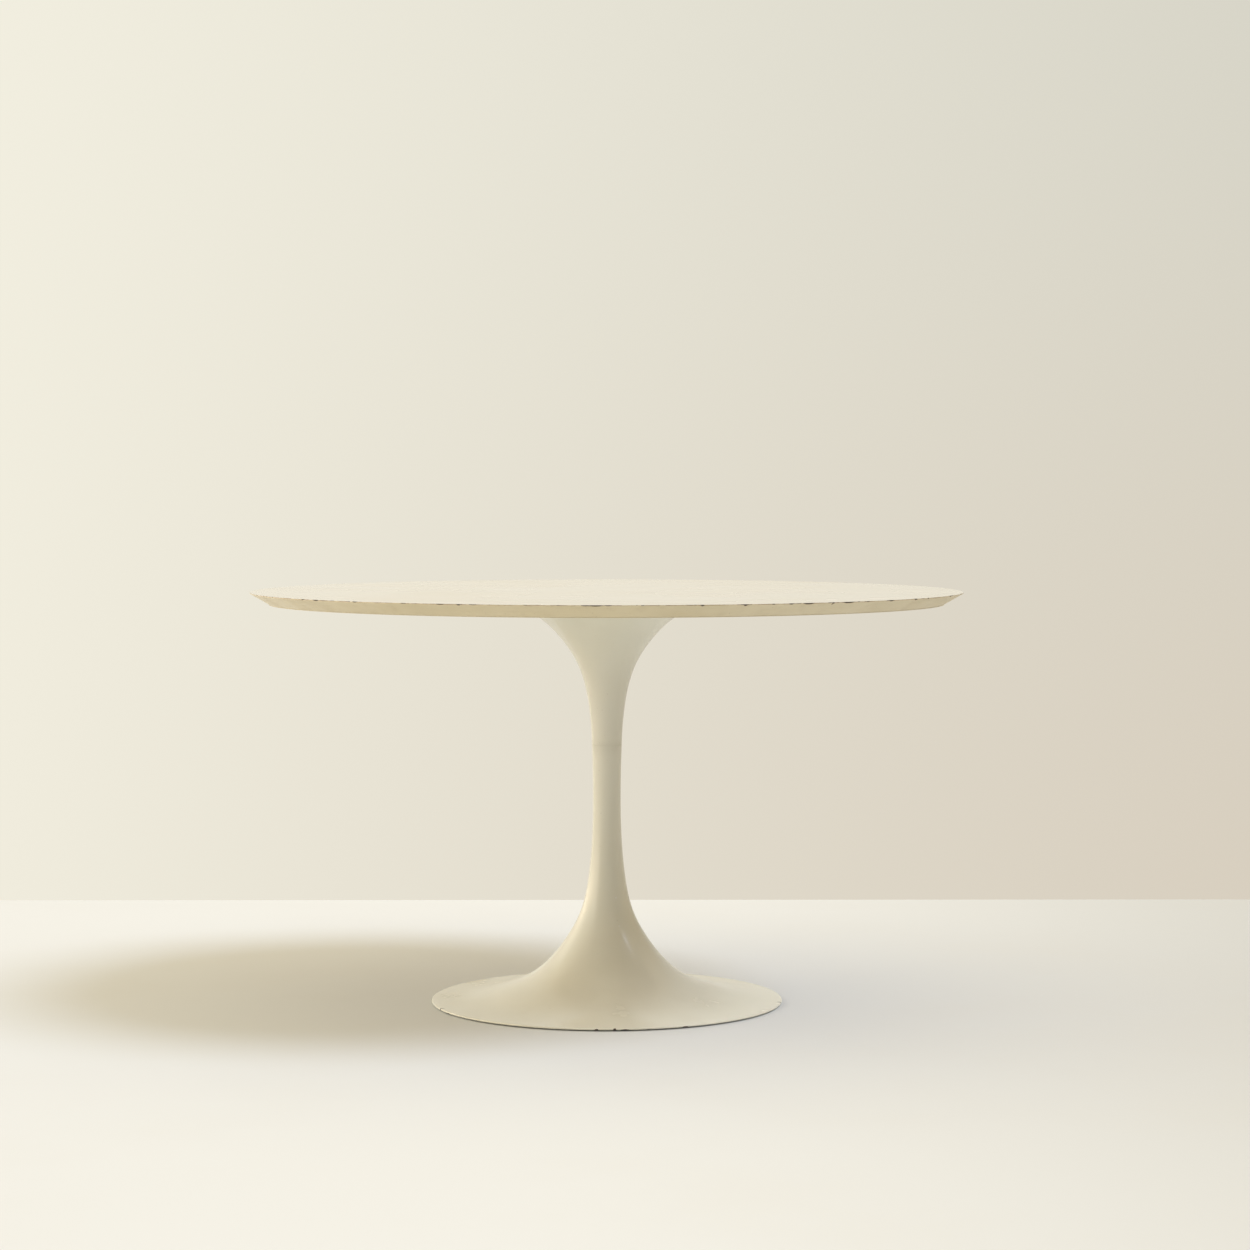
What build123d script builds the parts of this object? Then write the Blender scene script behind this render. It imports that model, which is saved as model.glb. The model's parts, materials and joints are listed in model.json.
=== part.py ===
"""Round pedestal table.

A laminate top with a bevelled edge is drawn down by one long tie rod onto a hollow
pedestal. The pedestal is two castings, a trumpet-shaped neck and a trumpet-shaped
foot, which meet at a spigot joint in the stem and stand on four levelling glides.
Millimetres, +Z up, origin on the floor at the centre of the table.
"""

from build123d import *
from math import radians, tan
import os

os.makedirs("parts", exist_ok=True)

# Driving dimensions of the top
TABLE_HEIGHT = 710
TOP_RADIUS = 610
LAMINATE_THICK = 1.0
BOARD_THICK = 19.0
BACKING_THICK = 0.8
BEVEL_INSET = 32.0
EDGE_LAND = 0.6

# Driving dimensions of the pedestal
FOOT_RADIUS = 302.5
RIM_GAP = 2.0
RIM_THICK = 3.2
RIM_LAND = 29.0
MOUTH_RADIUS = 153.0
SEAM_Z = 445.0
SEAM_RADIUS = 25.7
SEAM_BREAK = 0.5
WAIST_RADIUS = 23.8
WAIST_Z = 353.0
WALL = 4.5
STEM_BORE = 15.0

# Spigot joint between the two castings
SPIGOT_RADIUS = 20.5
SPIGOT_HEIGHT = 22.0
SPIGOT_CLEARANCE = 0.05

# Tie rod and the web that it pulls on
ROD_RADIUS = 6.0
THREAD_CLEARANCE = 0.05
ROD_BOTTOM_Z = 88.0
ROD_TOP_Z = 681.0
WEB_Z = 112.0
WEB_THICK = 8.0
WEB_RADIUS = 62.0
WEB_HOLE = 6.75
NUT_FLATS = 19.0
NUT_HEIGHT = 10.0
NUT_CHAMFER = 1.4
WASHER_RADIUS = 22.0
WASHER_THICK = 3.5
SPRING_WASHER_RADIUS = 10.5
SPRING_WASHER_THICK = 2.5
SPRING_WASHER_GAP = 2.0

# Spider that joins the rod to the top
SPIDER_ARMS = 4
ARM_LENGTH = 124.0
ARM_WIDTH = 36.0
ARM_THICK = 6.0
HUB_RADIUS = 22.0
HUB_PLATE_RADIUS = 35.0
HUB_ROUND = 2.0
HUB_BOTTOM_Z = 655.0
HUB_BORE_TOP_Z = 685.0

# Wood screws, two in each arm
SCREW_CIRCLES = (62.0, 108.0)
SCREW_RADIUS = 2.3
SCREW_LENGTH = 20.0
SCREW_HEAD_RADIUS = 4.6
SCREW_HEAD_ANGLE = 82
SCREW_RECESS_RADIUS = 1.3
PILOT_CLEARANCE = 0.05

# Levelling glides
GLIDE_COUNT = 4
GLIDE_CIRCLE = 200.0
GLIDE_FIRST_ANGLE = 45.0
PAD_RADIUS = 14.0
PAD_HEIGHT = 4.0
PAD_ROUND = 1.0
STUD_RADIUS = 4.0
STUD_TOP_Z = 14.5
STUD_FLANGE_RADIUS = 9.0
STUD_FLANGE_THICK = 1.6
BOSS_RADIUS = 12.0
BOSS_FACE_Z = 5.8
BOSS_TOP_Z = 15.0
BOSS_BORE_TOP_Z = 16.6

# Worked out from the dimensions above
BOARD_TOP_Z = TABLE_HEIGHT - LAMINATE_THICK
BOARD_BOTTOM_Z = BOARD_TOP_Z - BOARD_THICK
UNDERSIDE_Z = BOARD_BOTTOM_Z - BACKING_THICK
BEVEL_RADIUS = TOP_RADIUS - BEVEL_INSET
RIM_TOP_Z = RIM_GAP + RIM_THICK
BEAD_RADIUS = RIM_THICK / 2
SPIGOT_TOP_Z = SEAM_Z + SPIGOT_HEIGHT
SOCKET_TOP_Z = SPIGOT_TOP_Z + 0.5
ARM_BOTTOM_Z = UNDERSIDE_Z - ARM_THICK
ARM_SLOT = ARM_LENGTH - ARM_WIDTH / 2
PILOT_DEPTH = SCREW_LENGTH - ARM_THICK - BACKING_THICK + 1
SCREW_HEAD_DEPTH = (SCREW_HEAD_RADIUS - SCREW_RADIUS) / tan(radians(SCREW_HEAD_ANGLE / 2))

# Outlines of the pedestal as (radius, height): the foot from its rim up to the seam,
# and the neck from the seam up to its mouth
SEAM_SLOPE = (0.033, 1)
FOOT_OUTLINE = [
    (FOOT_RADIUS - BEAD_RADIUS, RIM_TOP_Z),
    (262, 7.4),
    (220, 13.8),
    (180, 25.6),
    (140, 42.2),
    (105, 68.2),
    (70, 111),
    (45.8, 156),
    (31.7, 217),
    (WAIST_RADIUS, WAIST_Z),
    (SEAM_RADIUS, SEAM_Z),
]
NECK_OUTLINE = [
    (SEAM_RADIUS, SEAM_Z),
    (28.3, 489),
    (34.6, 534),
    (48.5, 580),
    (76.2, 625),
    (105, 655),
    (MOUTH_RADIUS, UNDERSIDE_Z),
]


def inset_points(outline, depth, shares):
    """Points lying depth to the inner side of a curve, at shares of its length."""
    return [outline @ share + (outline % share).rotate(Axis.Z, 90) * depth for share in shares]


def polar_spots(radius, count, first_angle):
    """Centres of count equally spaced points on a circle about the table's axis."""
    return [Vector(radius, 0).rotate(Axis.Z, first_angle + 360 / count * i) for i in range(count)]


def disc(radius, thickness, base_z):
    """A flat round sheet on the table's axis with its lower face at base_z."""
    with BuildPart() as sheet:
        with BuildSketch(Plane.XY.offset(base_z)):
            Circle(radius)
        extrude(amount=thickness)
    return sheet.part


def ring_washer(outer_radius, inner_radius, thickness, base_z):
    """A plain washer on the table's axis with its lower face at base_z."""
    with BuildPart() as washer:
        with BuildSketch(Plane.XY.offset(base_z)):
            Circle(outer_radius)
            Circle(inner_radius, mode=Mode.SUBTRACT)
        extrude(amount=thickness)
        chamfer(washer.edges().filter_by(GeomType.CIRCLE).group_by(SortBy.RADIUS)[-1], 0.4)
    return washer.part


def spring_washer(base_z):
    """A split lock washer, square in section, lying flattened under its nut."""
    with BuildPart() as washer:
        with BuildSketch(Plane.XY.offset(base_z)):
            Circle(SPRING_WASHER_RADIUS)
            Circle(ROD_RADIUS + THREAD_CLEARANCE, mode=Mode.SUBTRACT)
            with Locations((SPRING_WASHER_RADIUS / 2, 0)):
                Rectangle(SPRING_WASHER_RADIUS * 1.2, SPRING_WASHER_GAP, mode=Mode.SUBTRACT)
        extrude(amount=SPRING_WASHER_THICK)
    return washer.part


def hex_nut(base_z):
    """A hexagon nut on the tie rod, its corners turned off at both faces."""
    top_z = base_z + NUT_HEIGHT
    corner_radius = NUT_FLATS / 3**0.5
    with BuildPart() as nut:
        with BuildSketch(Plane.XY.offset(base_z)):
            RegularPolygon(NUT_FLATS / 2, 6, major_radius=False)
            Circle(ROD_RADIUS + THREAD_CLEARANCE, mode=Mode.SUBTRACT)
        extrude(amount=NUT_HEIGHT)
        with BuildSketch(Plane.XZ):
            with BuildLine():
                Polyline(
                    (0, base_z),
                    (corner_radius - NUT_CHAMFER, base_z),
                    (corner_radius, base_z + NUT_CHAMFER / 2),
                    (corner_radius, top_z - NUT_CHAMFER / 2),
                    (corner_radius - NUT_CHAMFER, top_z),
                    (0, top_z),
                    close=True,
                )
            make_face()
        revolve(axis=Axis.Z, mode=Mode.INTERSECT)
    return nut.part


def write(part, name):
    """Label a finished piece and write it as its own STEP file."""
    part.label = name
    export_step(part, f"parts/{name}.step")


screw_spots = [spot for circle in SCREW_CIRCLES for spot in polar_spots(circle, SPIDER_ARMS, 0)]
glide_spots = polar_spots(GLIDE_CIRCLE, GLIDE_COUNT, GLIDE_FIRST_ANGLE)

# --- Table top: white laminate, bevelled board and backing sheet ---

write(disc(TOP_RADIUS, LAMINATE_THICK, BOARD_TOP_Z), "top_laminate")

with BuildPart() as top_board:
    with BuildSketch(Plane.XZ):
        with BuildLine():
            Polyline(
                (0, BOARD_BOTTOM_Z),
                (BEVEL_RADIUS, BOARD_BOTTOM_Z),
                (TOP_RADIUS, BOARD_TOP_Z - EDGE_LAND),
                (TOP_RADIUS, BOARD_TOP_Z),
                (0, BOARD_TOP_Z),
                close=True,
            )
        make_face()
    revolve(axis=Axis.Z)
    with Locations(*[Plane((s.X, s.Y, BOARD_BOTTOM_Z), z_dir=(0, 0, -1)) for s in screw_spots]):
        Hole(SCREW_RADIUS + PILOT_CLEARANCE, depth=PILOT_DEPTH)
write(top_board.part, "top_board")

with BuildPart() as backing_sheet:
    with BuildSketch(Plane.XY.offset(UNDERSIDE_Z)):
        Circle(BEVEL_RADIUS)
        with Locations(*screw_spots):
            Circle(SCREW_RADIUS + PILOT_CLEARANCE, mode=Mode.SUBTRACT)
    extrude(amount=BACKING_THICK)
write(backing_sheet.part, "backing_sheet")

# --- Spider: a hub with four arms, screwed under the top ---

with BuildPart() as top_spider:
    with BuildSketch(Plane.XY.offset(ARM_BOTTOM_Z)):
        Circle(HUB_PLATE_RADIUS)
        with PolarLocations(ARM_SLOT / 2, SPIDER_ARMS):
            SlotCenterToCenter(ARM_SLOT, ARM_WIDTH)
    extrude(amount=ARM_THICK)
    with BuildSketch(Plane.XY.offset(HUB_BOTTOM_Z)):
        Circle(HUB_RADIUS)
    extrude(until=Until.NEXT)
    fillet(top_spider.edges().filter_by(GeomType.CIRCLE).group_by(Axis.Z)[0], HUB_ROUND)
    with Locations(Plane((0, 0, HUB_BOTTOM_Z), z_dir=(0, 0, -1))):
        Hole(ROD_RADIUS + THREAD_CLEARANCE, depth=HUB_BORE_TOP_Z - HUB_BOTTOM_Z)
    with Locations(*[Plane((s.X, s.Y, ARM_BOTTOM_Z), z_dir=(0, 0, -1)) for s in screw_spots]):
        CounterSinkHole(
            SCREW_RADIUS + PILOT_CLEARANCE,
            SCREW_HEAD_RADIUS + PILOT_CLEARANCE,
            depth=ARM_THICK,
            counter_sink_angle=SCREW_HEAD_ANGLE,
        )
write(top_spider.part, "top_spider")

with BuildPart() as screw:
    with BuildSketch(Plane.XZ):
        with BuildLine():
            Polyline(
                (0, SCREW_RECESS_RADIUS),
                (SCREW_RECESS_RADIUS, 0),
                (SCREW_HEAD_RADIUS, 0),
                (SCREW_RADIUS, SCREW_HEAD_DEPTH),
                (SCREW_RADIUS, SCREW_LENGTH - SCREW_RADIUS * 2),
                (0, SCREW_LENGTH),
                close=True,
            )
        make_face()
    revolve(axis=Axis.Z)

with BuildPart() as spider_screws:
    with Locations(*[Location((s.X, s.Y, ARM_BOTTOM_Z)) for s in screw_spots]):
        add(screw.part)
write(spider_screws.part, "spider_screws")

# --- Neck casting: from the spigot socket up to the trumpet mouth ---

with BuildPart() as neck_casting:
    with BuildSketch(Plane.XZ):
        with BuildLine():
            neck_curve = Spline(*NECK_OUTLINE, tangents=[SEAM_SLOPE, (1.42, 1)])
            inner = inset_points(neck_curve, WALL, (0.45, 0.6, 0.75, 0.88))
            mouth_inner = (MOUTH_RADIUS - 1.75 * WALL, UNDERSIDE_Z)
            bore_end = (STEM_BORE + 2, SOCKET_TOP_Z + 10)
            Spline(bore_end, *inner, mouth_inner, tangents=[(0.05, 1), (1.4, 1)])
            Polyline(
                bore_end,
                (STEM_BORE + 2, SOCKET_TOP_Z),
                (SPIGOT_RADIUS + SPIGOT_CLEARANCE, SOCKET_TOP_Z),
                (SPIGOT_RADIUS + SPIGOT_CLEARANCE, SEAM_Z),
                neck_curve @ 0,
            )
            Line(mouth_inner, neck_curve @ 1)
        make_face()
    revolve(axis=Axis.Z)
    seam_edges = neck_casting.edges().filter_by(GeomType.CIRCLE).group_by(Axis.Z)[0]
    chamfer(seam_edges.sort_by(SortBy.RADIUS)[-1], SEAM_BREAK)
write(neck_casting.part, "neck_casting")

# --- Foot casting: spigot, stem, web, hollow trumpet and four glide bosses ---

with BuildPart() as foot_casting:
    with BuildSketch(Plane.XZ):
        with BuildLine():
            foot_curve = Spline(*FOOT_OUTLINE, tangents=[(-1, 0.03), SEAM_SLOPE])
            hollow_start = (FOOT_RADIUS - RIM_LAND, RIM_GAP)
            bore_start = (STEM_BORE, WAIST_Z - 45)
            inner = inset_points(foot_curve, WALL, (0.14, 0.24, 0.34, 0.44, 0.54))
            Spline(hollow_start, *inner, bore_start, tangents=[(-1, 0.12), (0, 1)])
            Polyline(
                bore_start,
                (STEM_BORE, SPIGOT_TOP_Z),
                (SPIGOT_RADIUS, SPIGOT_TOP_Z),
                (SPIGOT_RADIUS, SEAM_Z),
                foot_curve @ 1,
            )
            rim_inner = (FOOT_RADIUS - BEAD_RADIUS, RIM_GAP)
            ThreePointArc(foot_curve @ 0, (FOOT_RADIUS, RIM_GAP + BEAD_RADIUS), rim_inner)
            Line(rim_inner, hollow_start)
        make_face()
    revolve(axis=Axis.Z)
    seam_edges = foot_casting.edges().filter_by(GeomType.CIRCLE).group_by(Axis.Z)
    seam_rings = [ring for group in seam_edges for ring in group if abs(ring.center().Z - SEAM_Z) < 0.01]
    chamfer(ShapeList(seam_rings).sort_by(SortBy.RADIUS)[-1], SEAM_BREAK)
    with BuildSketch(Plane.XY.offset(WEB_Z)):
        Circle(WEB_RADIUS)
        Circle(WEB_HOLE, mode=Mode.SUBTRACT)
    extrude(amount=WEB_THICK)
    with BuildSketch(Plane.XY.offset(BOSS_FACE_Z)):
        with Locations(*glide_spots):
            Circle(BOSS_RADIUS)
    extrude(amount=BOSS_TOP_Z - BOSS_FACE_Z)
    with Locations(*[Plane((s.X, s.Y, BOSS_FACE_Z), z_dir=(0, 0, -1)) for s in glide_spots]):
        Hole(STUD_RADIUS + THREAD_CLEARANCE, depth=BOSS_BORE_TOP_Z - BOSS_FACE_Z)
write(foot_casting.part, "foot_casting")

# --- Tie rod with its nuts and washers ---

with BuildPart() as tie_rod:
    with BuildSketch(Plane.XY.offset(ROD_BOTTOM_Z)):
        Circle(ROD_RADIUS)
    extrude(amount=ROD_TOP_Z - ROD_BOTTOM_Z)
    chamfer(tie_rod.edges().filter_by(GeomType.CIRCLE), 1.0)
write(tie_rod.part, "tie_rod")

hub_washer_z = HUB_BOTTOM_Z - SPRING_WASHER_THICK
foot_washer_z = WEB_Z - WASHER_THICK
foot_spring_z = foot_washer_z - SPRING_WASHER_THICK
write(spring_washer(hub_washer_z), "hub_lock_washer")
write(hex_nut(hub_washer_z - NUT_HEIGHT), "hub_lock_nut")
write(ring_washer(WASHER_RADIUS, WEB_HOLE, WASHER_THICK, foot_washer_z), "foot_washer")
write(spring_washer(foot_spring_z), "foot_lock_washer")
write(hex_nut(foot_spring_z - NUT_HEIGHT), "foot_nut")

# --- Levelling glides: a steel stud moulded into a nylon pad ---

for number, spot in enumerate(glide_spots, start=1):
    flange_z = PAD_HEIGHT - STUD_FLANGE_THICK

    with BuildPart() as glide_pad:
        with BuildSketch(Plane((spot.X, spot.Y, 0))):
            Circle(PAD_RADIUS)
        extrude(amount=PAD_HEIGHT)
        fillet(glide_pad.edges().filter_by(GeomType.CIRCLE), PAD_ROUND)
        with BuildSketch(Plane((spot.X, spot.Y, flange_z))):
            Circle(STUD_FLANGE_RADIUS + THREAD_CLEARANCE)
        extrude(amount=STUD_FLANGE_THICK, mode=Mode.SUBTRACT)
    write(glide_pad.part, f"glide_pad_{number}")

    with BuildPart() as glide_stud:
        with BuildSketch(Plane((spot.X, spot.Y, flange_z))):
            Circle(STUD_FLANGE_RADIUS)
        extrude(amount=STUD_FLANGE_THICK)
        with BuildSketch(Plane((spot.X, spot.Y, PAD_HEIGHT))):
            Circle(STUD_RADIUS)
        extrude(amount=STUD_TOP_Z - PAD_HEIGHT)
        chamfer(glide_stud.edges().group_by(Axis.Z)[-1], 0.8)
    write(glide_stud.part, f"glide_stud_{number}")
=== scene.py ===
"""Looks of the round pedestal table: its surfaces, finishes, studio and camera.

Every sub-assembly of the table is a class that builds its own skins as numpy arrays and
dresses them in its own finishes. Lengths are in metres. Angles round the table are measured
from the front (-Y) towards the right (+X).
"""

import json
import logging
import math
from collections.abc import Sequence
from dataclasses import dataclass, field
from enum import Enum

import bpy
import numpy as np
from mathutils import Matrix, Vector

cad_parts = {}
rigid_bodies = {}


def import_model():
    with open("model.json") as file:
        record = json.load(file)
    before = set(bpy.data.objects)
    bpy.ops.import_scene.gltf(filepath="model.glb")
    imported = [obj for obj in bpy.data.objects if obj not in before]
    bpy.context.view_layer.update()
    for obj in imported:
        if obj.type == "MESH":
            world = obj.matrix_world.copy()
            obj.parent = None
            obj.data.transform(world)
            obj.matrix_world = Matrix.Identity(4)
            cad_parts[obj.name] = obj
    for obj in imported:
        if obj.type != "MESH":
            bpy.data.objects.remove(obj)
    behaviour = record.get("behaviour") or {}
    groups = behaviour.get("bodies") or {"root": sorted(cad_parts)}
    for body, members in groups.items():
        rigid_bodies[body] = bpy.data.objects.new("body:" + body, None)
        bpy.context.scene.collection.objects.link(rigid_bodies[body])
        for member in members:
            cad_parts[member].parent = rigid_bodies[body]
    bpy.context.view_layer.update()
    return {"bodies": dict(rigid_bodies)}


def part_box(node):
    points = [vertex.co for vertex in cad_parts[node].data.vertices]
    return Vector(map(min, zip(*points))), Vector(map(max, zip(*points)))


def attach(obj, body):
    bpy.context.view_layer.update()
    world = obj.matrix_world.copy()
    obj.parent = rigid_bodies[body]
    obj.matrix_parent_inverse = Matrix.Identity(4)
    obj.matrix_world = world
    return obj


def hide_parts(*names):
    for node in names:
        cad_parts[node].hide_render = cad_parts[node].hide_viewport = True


LOG = logging.getLogger("pedestal_table")
MM = 0.001
TURN = 2 * math.pi

Colour = tuple[float, float, float]
Pair = tuple[float, float]
Stretch = Sequence[Pair] | np.ndarray
Socket = bpy.types.NodeSocket
Material = bpy.types.Material


# ---------------------------------------------------------------------------
# Curves and skins
# ---------------------------------------------------------------------------


@dataclass
class Skin:
    """A closed surface: its points, its faces, its chart and the values kept at its points."""

    points: np.ndarray
    quads: np.ndarray
    triangles: np.ndarray
    quad_chart: np.ndarray
    triangle_chart: np.ndarray
    values: dict[str, np.ndarray] = field(default_factory=dict)

    def moved(self, x: float, y: float, z: float = 0.0) -> "Skin":
        """The same skin shifted by x, y and z."""
        self.points = self.points + np.array([x, y, z])
        return self

    def keep(self, name: str, value: np.ndarray | float) -> "Skin":
        """Keep a value at every point, under a name that a finish can read."""
        self.values[name] = np.broadcast_to(np.asarray(value, float), len(self.points)).copy()
        return self


def joined(skins: Sequence[Skin]) -> Skin:
    """Several skins as one.

    Args:
        skins: The skins to put together. A value that one of them lacks is zero there.

    Returns:
        One skin with all their points and faces.
    """
    starts = np.cumsum([0] + [len(s.points) for s in skins[:-1]])
    names = sorted({name for s in skins for name in s.values})
    values = {
        n: np.concatenate([s.values.get(n, np.zeros(len(s.points))) for s in skins]) for n in names
    }
    return Skin(
        points=np.concatenate([s.points for s in skins]),
        quads=np.concatenate([s.quads + k for s, k in zip(skins, starts)]),
        triangles=np.concatenate([s.triangles + k for s, k in zip(skins, starts)]),
        quad_chart=np.concatenate([s.quad_chart for s in skins]),
        triangle_chart=np.concatenate([s.triangle_chart for s in skins]),
        values=values,
    )


def grid_skin(points: np.ndarray, closed_rows: bool, closed_columns: bool = True) -> Skin:
    """The faces and chart of a grid of points.

    The face at row i and column j has the corners (i, j), (i, j+1), (i+1, j+1), (i+1, j), so
    it looks along (column direction) x (row direction). The chart's u is the column's share
    of the whole and its v is the mean length walked from the first row, in metres.

    Args:
        points: The grid, as an array of rows x columns x 3.
        closed_rows: Whether the last row joins the first.
        closed_columns: Whether the last column joins the first.

    Returns:
        The skin, open wherever the grid is open.
    """
    rows, columns = points.shape[:2]
    i, j = np.meshgrid(
        np.arange(rows if closed_rows else rows - 1),
        np.arange(columns if closed_columns else columns - 1),
        indexing="ij",
    )
    i1, j1 = (i + 1) % rows, (j + 1) % columns
    corners = [i * columns + j, i * columns + j1, i1 * columns + j1, i1 * columns + j]
    steps = np.linalg.norm(np.diff(points, axis=0, append=points[:1]), axis=2).mean(axis=1)
    walked = np.concatenate([[0.0], np.cumsum(steps)])
    u0, u1 = j / columns, (j + 1) / columns
    v0, v1 = walked[i], walked[i + 1]
    chart = np.stack([np.stack(p, -1) for p in ((u0, v0), (u1, v0), (u1, v1), (u0, v1))], 2)
    return Skin(
        points=points.reshape(-1, 3),
        quads=np.stack(corners, -1).reshape(-1, 4),
        triangles=np.zeros((0, 3), int),
        quad_chart=chart.reshape(-1, 4, 2),
        triangle_chart=np.zeros((0, 3, 2)),
    )


def cap(skin: Skin, ring: np.ndarray, centre: np.ndarray, forwards: bool) -> Skin:
    """Close a ring of points with a fan of triangles to a centre point.

    Args:
        skin: The skin that the ring belongs to.
        ring: The point numbers round the opening, in column order.
        centre: Where the fan's middle goes.
        forwards: True where the grid's rows run towards the fan.

    Returns:
        The skin with the fan added.
    """
    middle = len(skin.points)
    after = np.roll(ring, -1)
    ends = (ring, after) if forwards else (after, ring)
    fan = np.stack([*ends, np.full(len(ring), middle)], -1)
    share = np.arange(len(ring)) / len(ring)
    chart = np.stack([np.stack([share, np.full(len(ring), v)], -1) for v in (0.0, 0.0, 0.01)], 1)
    skin.points = np.concatenate([skin.points, centre[None]])
    skin.triangles = np.concatenate([skin.triangles, fan])
    skin.triangle_chart = np.concatenate([skin.triangle_chart, chart])
    for name, value in skin.values.items():
        skin.values[name] = np.append(value, value[ring].mean())
    return skin


def angles(columns: int) -> np.ndarray:
    """Equal angles once round, from the front towards the right, in radians."""
    return np.arange(columns) * TURN / columns


def lathe(radius: np.ndarray, height: np.ndarray, columns: int, capped: bool = False) -> Skin:
    """The skin of a turned piece, whose section may also change round the turn.

    The point at row i and column j is (r sin a, -r cos a, z), where a is the j-th of equal
    angles, and r and z are the section's radius and height there. A section that runs
    anticlockwise in (r, z) gives faces that look outwards.

    Args:
        radius: Radii, as rows or as rows x columns.
        height: Heights, in the same form.
        columns: How many points there are in each ring.
        capped: True closes the first and last rings on the axis; False joins them together.

    Returns:
        The closed skin.
    """
    turn = angles(columns)[None, :]
    r = radius[:, None] if radius.ndim == 1 else radius
    z = height[:, None] if height.ndim == 1 else height
    r, z, a = np.broadcast_arrays(r, z, turn)
    skin = grid_skin(np.stack([r * np.sin(a), -r * np.cos(a), z], -1), closed_rows=not capped)
    if capped:
        last = len(skin.points) - columns
        first_ring, last_ring = np.arange(columns), last + np.arange(columns)
        skin = cap(skin, first_ring, np.array([0, 0, z[0].mean()]), forwards=False)
        skin = cap(skin, last_ring, np.array([0, 0, z[-1].mean()]), forwards=True)
    return skin


def rows_of(*stretches: Stretch) -> tuple[np.ndarray, np.ndarray]:
    """The radii and heights of a section made of stretches that follow each other."""
    section = np.concatenate([np.asarray(s, float).reshape(-1, 2) for s in stretches])
    return section[:, 0], section[:, 1]


def arc(centre: Pair, radius: float, start: float, end: float, count: int) -> np.ndarray:
    """Points (r, z) on a circular arc, from one angle in degrees to another."""
    t = np.radians(np.linspace(start, end, count))
    return np.stack([centre[0] + radius * np.cos(t), centre[1] + radius * np.sin(t)], -1)


@dataclass(frozen=True)
class Outline:
    """A smooth outline through a few (radius, height) knots in millimetres.

    Between knots it is the cubic spline over the chord length whose slope and curvature are
    continuous and whose ends run along the two given directions.
    """

    knots: tuple[Pair, ...]
    start: Pair
    end: Pair

    def points(self, count: int, crowding: float = 1.0) -> np.ndarray:
        """Points along the outline in metres, (radius, height) in each row.

        Args:
            count: How many points to give, both ends included.
            crowding: The power that the share of the length is raised to. Above one, the
                points crowd towards the first knot.

        Returns:
            An array of count x 2.
        """
        knot = np.array(self.knots) * MM
        chord = np.linalg.norm(np.diff(knot, axis=0), axis=1)
        at = np.concatenate([[0.0], np.cumsum(chord)])
        n = len(knot)
        matrix = np.zeros((n, n))
        right = np.zeros((n, 2))
        inner = np.arange(1, n - 1)
        matrix[inner, inner - 1] = 1 / chord[:-1]
        matrix[inner, inner] = 2 * (1 / chord[:-1] + 1 / chord[1:])
        matrix[inner, inner + 1] = 1 / chord[1:]
        rise = np.diff(knot, axis=0) / chord[:, None] ** 2
        right[1:-1] = 3 * (rise[:-1] + rise[1:])
        matrix[0, 0] = matrix[-1, -1] = 1
        right[0] = np.array(self.start) / np.linalg.norm(self.start)
        right[-1] = np.array(self.end) / np.linalg.norm(self.end)
        slope = np.linalg.solve(matrix, right)
        where = at[-1] * np.linspace(0, 1, count) ** crowding
        k = np.clip(np.searchsorted(at, where, side="right") - 1, 0, n - 2)
        h = chord[k][:, None]
        t = (where - at[k])[:, None] / h
        ends = (2 * t**3 - 3 * t**2 + 1) * knot[k] + (3 * t**2 - 2 * t**3) * knot[k + 1]
        return ends + h * ((t**3 - 2 * t**2 + t) * slope[k] + (t**3 - t**2) * slope[k + 1])

    def inset(self, depth: float, shares: Sequence[float]) -> tuple[Pair, ...]:
        """Knots that lie inside the outline, each moved at a right angle to it.

        Args:
            depth: How far inside they lie, in millimetres.
            shares: Where they lie, as shares of the outline's length.

        Returns:
            One (radius, height) knot in millimetres for each share.
        """
        samples = 2001
        line = self.points(samples) / MM
        walked = np.concatenate([[0.0], np.cumsum(np.linalg.norm(np.diff(line, axis=0), axis=1))])
        way = np.gradient(line, axis=0)
        way = way / np.linalg.norm(way, axis=1)[:, None]
        inside = line + depth * np.stack([-way[:, 1], way[:, 0]], -1)
        at = np.array(shares) * walked[-1]
        radii = np.interp(at, walked, inside[:, 0])
        heights = np.interp(at, walked, inside[:, 1])
        return tuple(zip(radii.tolist(), heights.tolist()))


def middle_of(node: str) -> Pair:
    """The x and y of the middle of a CAD node's box."""
    low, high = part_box(node)
    return (low.x + high.x) / 2, (low.y + high.y) / 2


def thread_cut(turn: np.ndarray, height: np.ndarray, pitch: float, depth: float) -> np.ndarray:
    """How deep a right-hand V thread is cut at each angle and height.

    The cut is a triangle wave of the phase (height / pitch - angle / one turn), nought on the
    crest and depth in the root.

    Args:
        turn: Angles in radians.
        height: Heights in metres.
        pitch: Rise in one turn.
        depth: Depth of the root under the crest.

    Returns:
        The cut, in the shape that turn and height have together.
    """
    phase = (height / pitch - turn / TURN) % 1.0
    return depth * np.abs(2 * phase - 1)


def hexagon_radius(turn: np.ndarray, flats: float) -> np.ndarray:
    """Radius of a hexagon at each angle: half its width over the cosine from the nearest flat."""
    sixth = TURN / 6
    return flats / 2 / np.cos((turn + sixth / 2) % sixth - sixth / 2)


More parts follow.
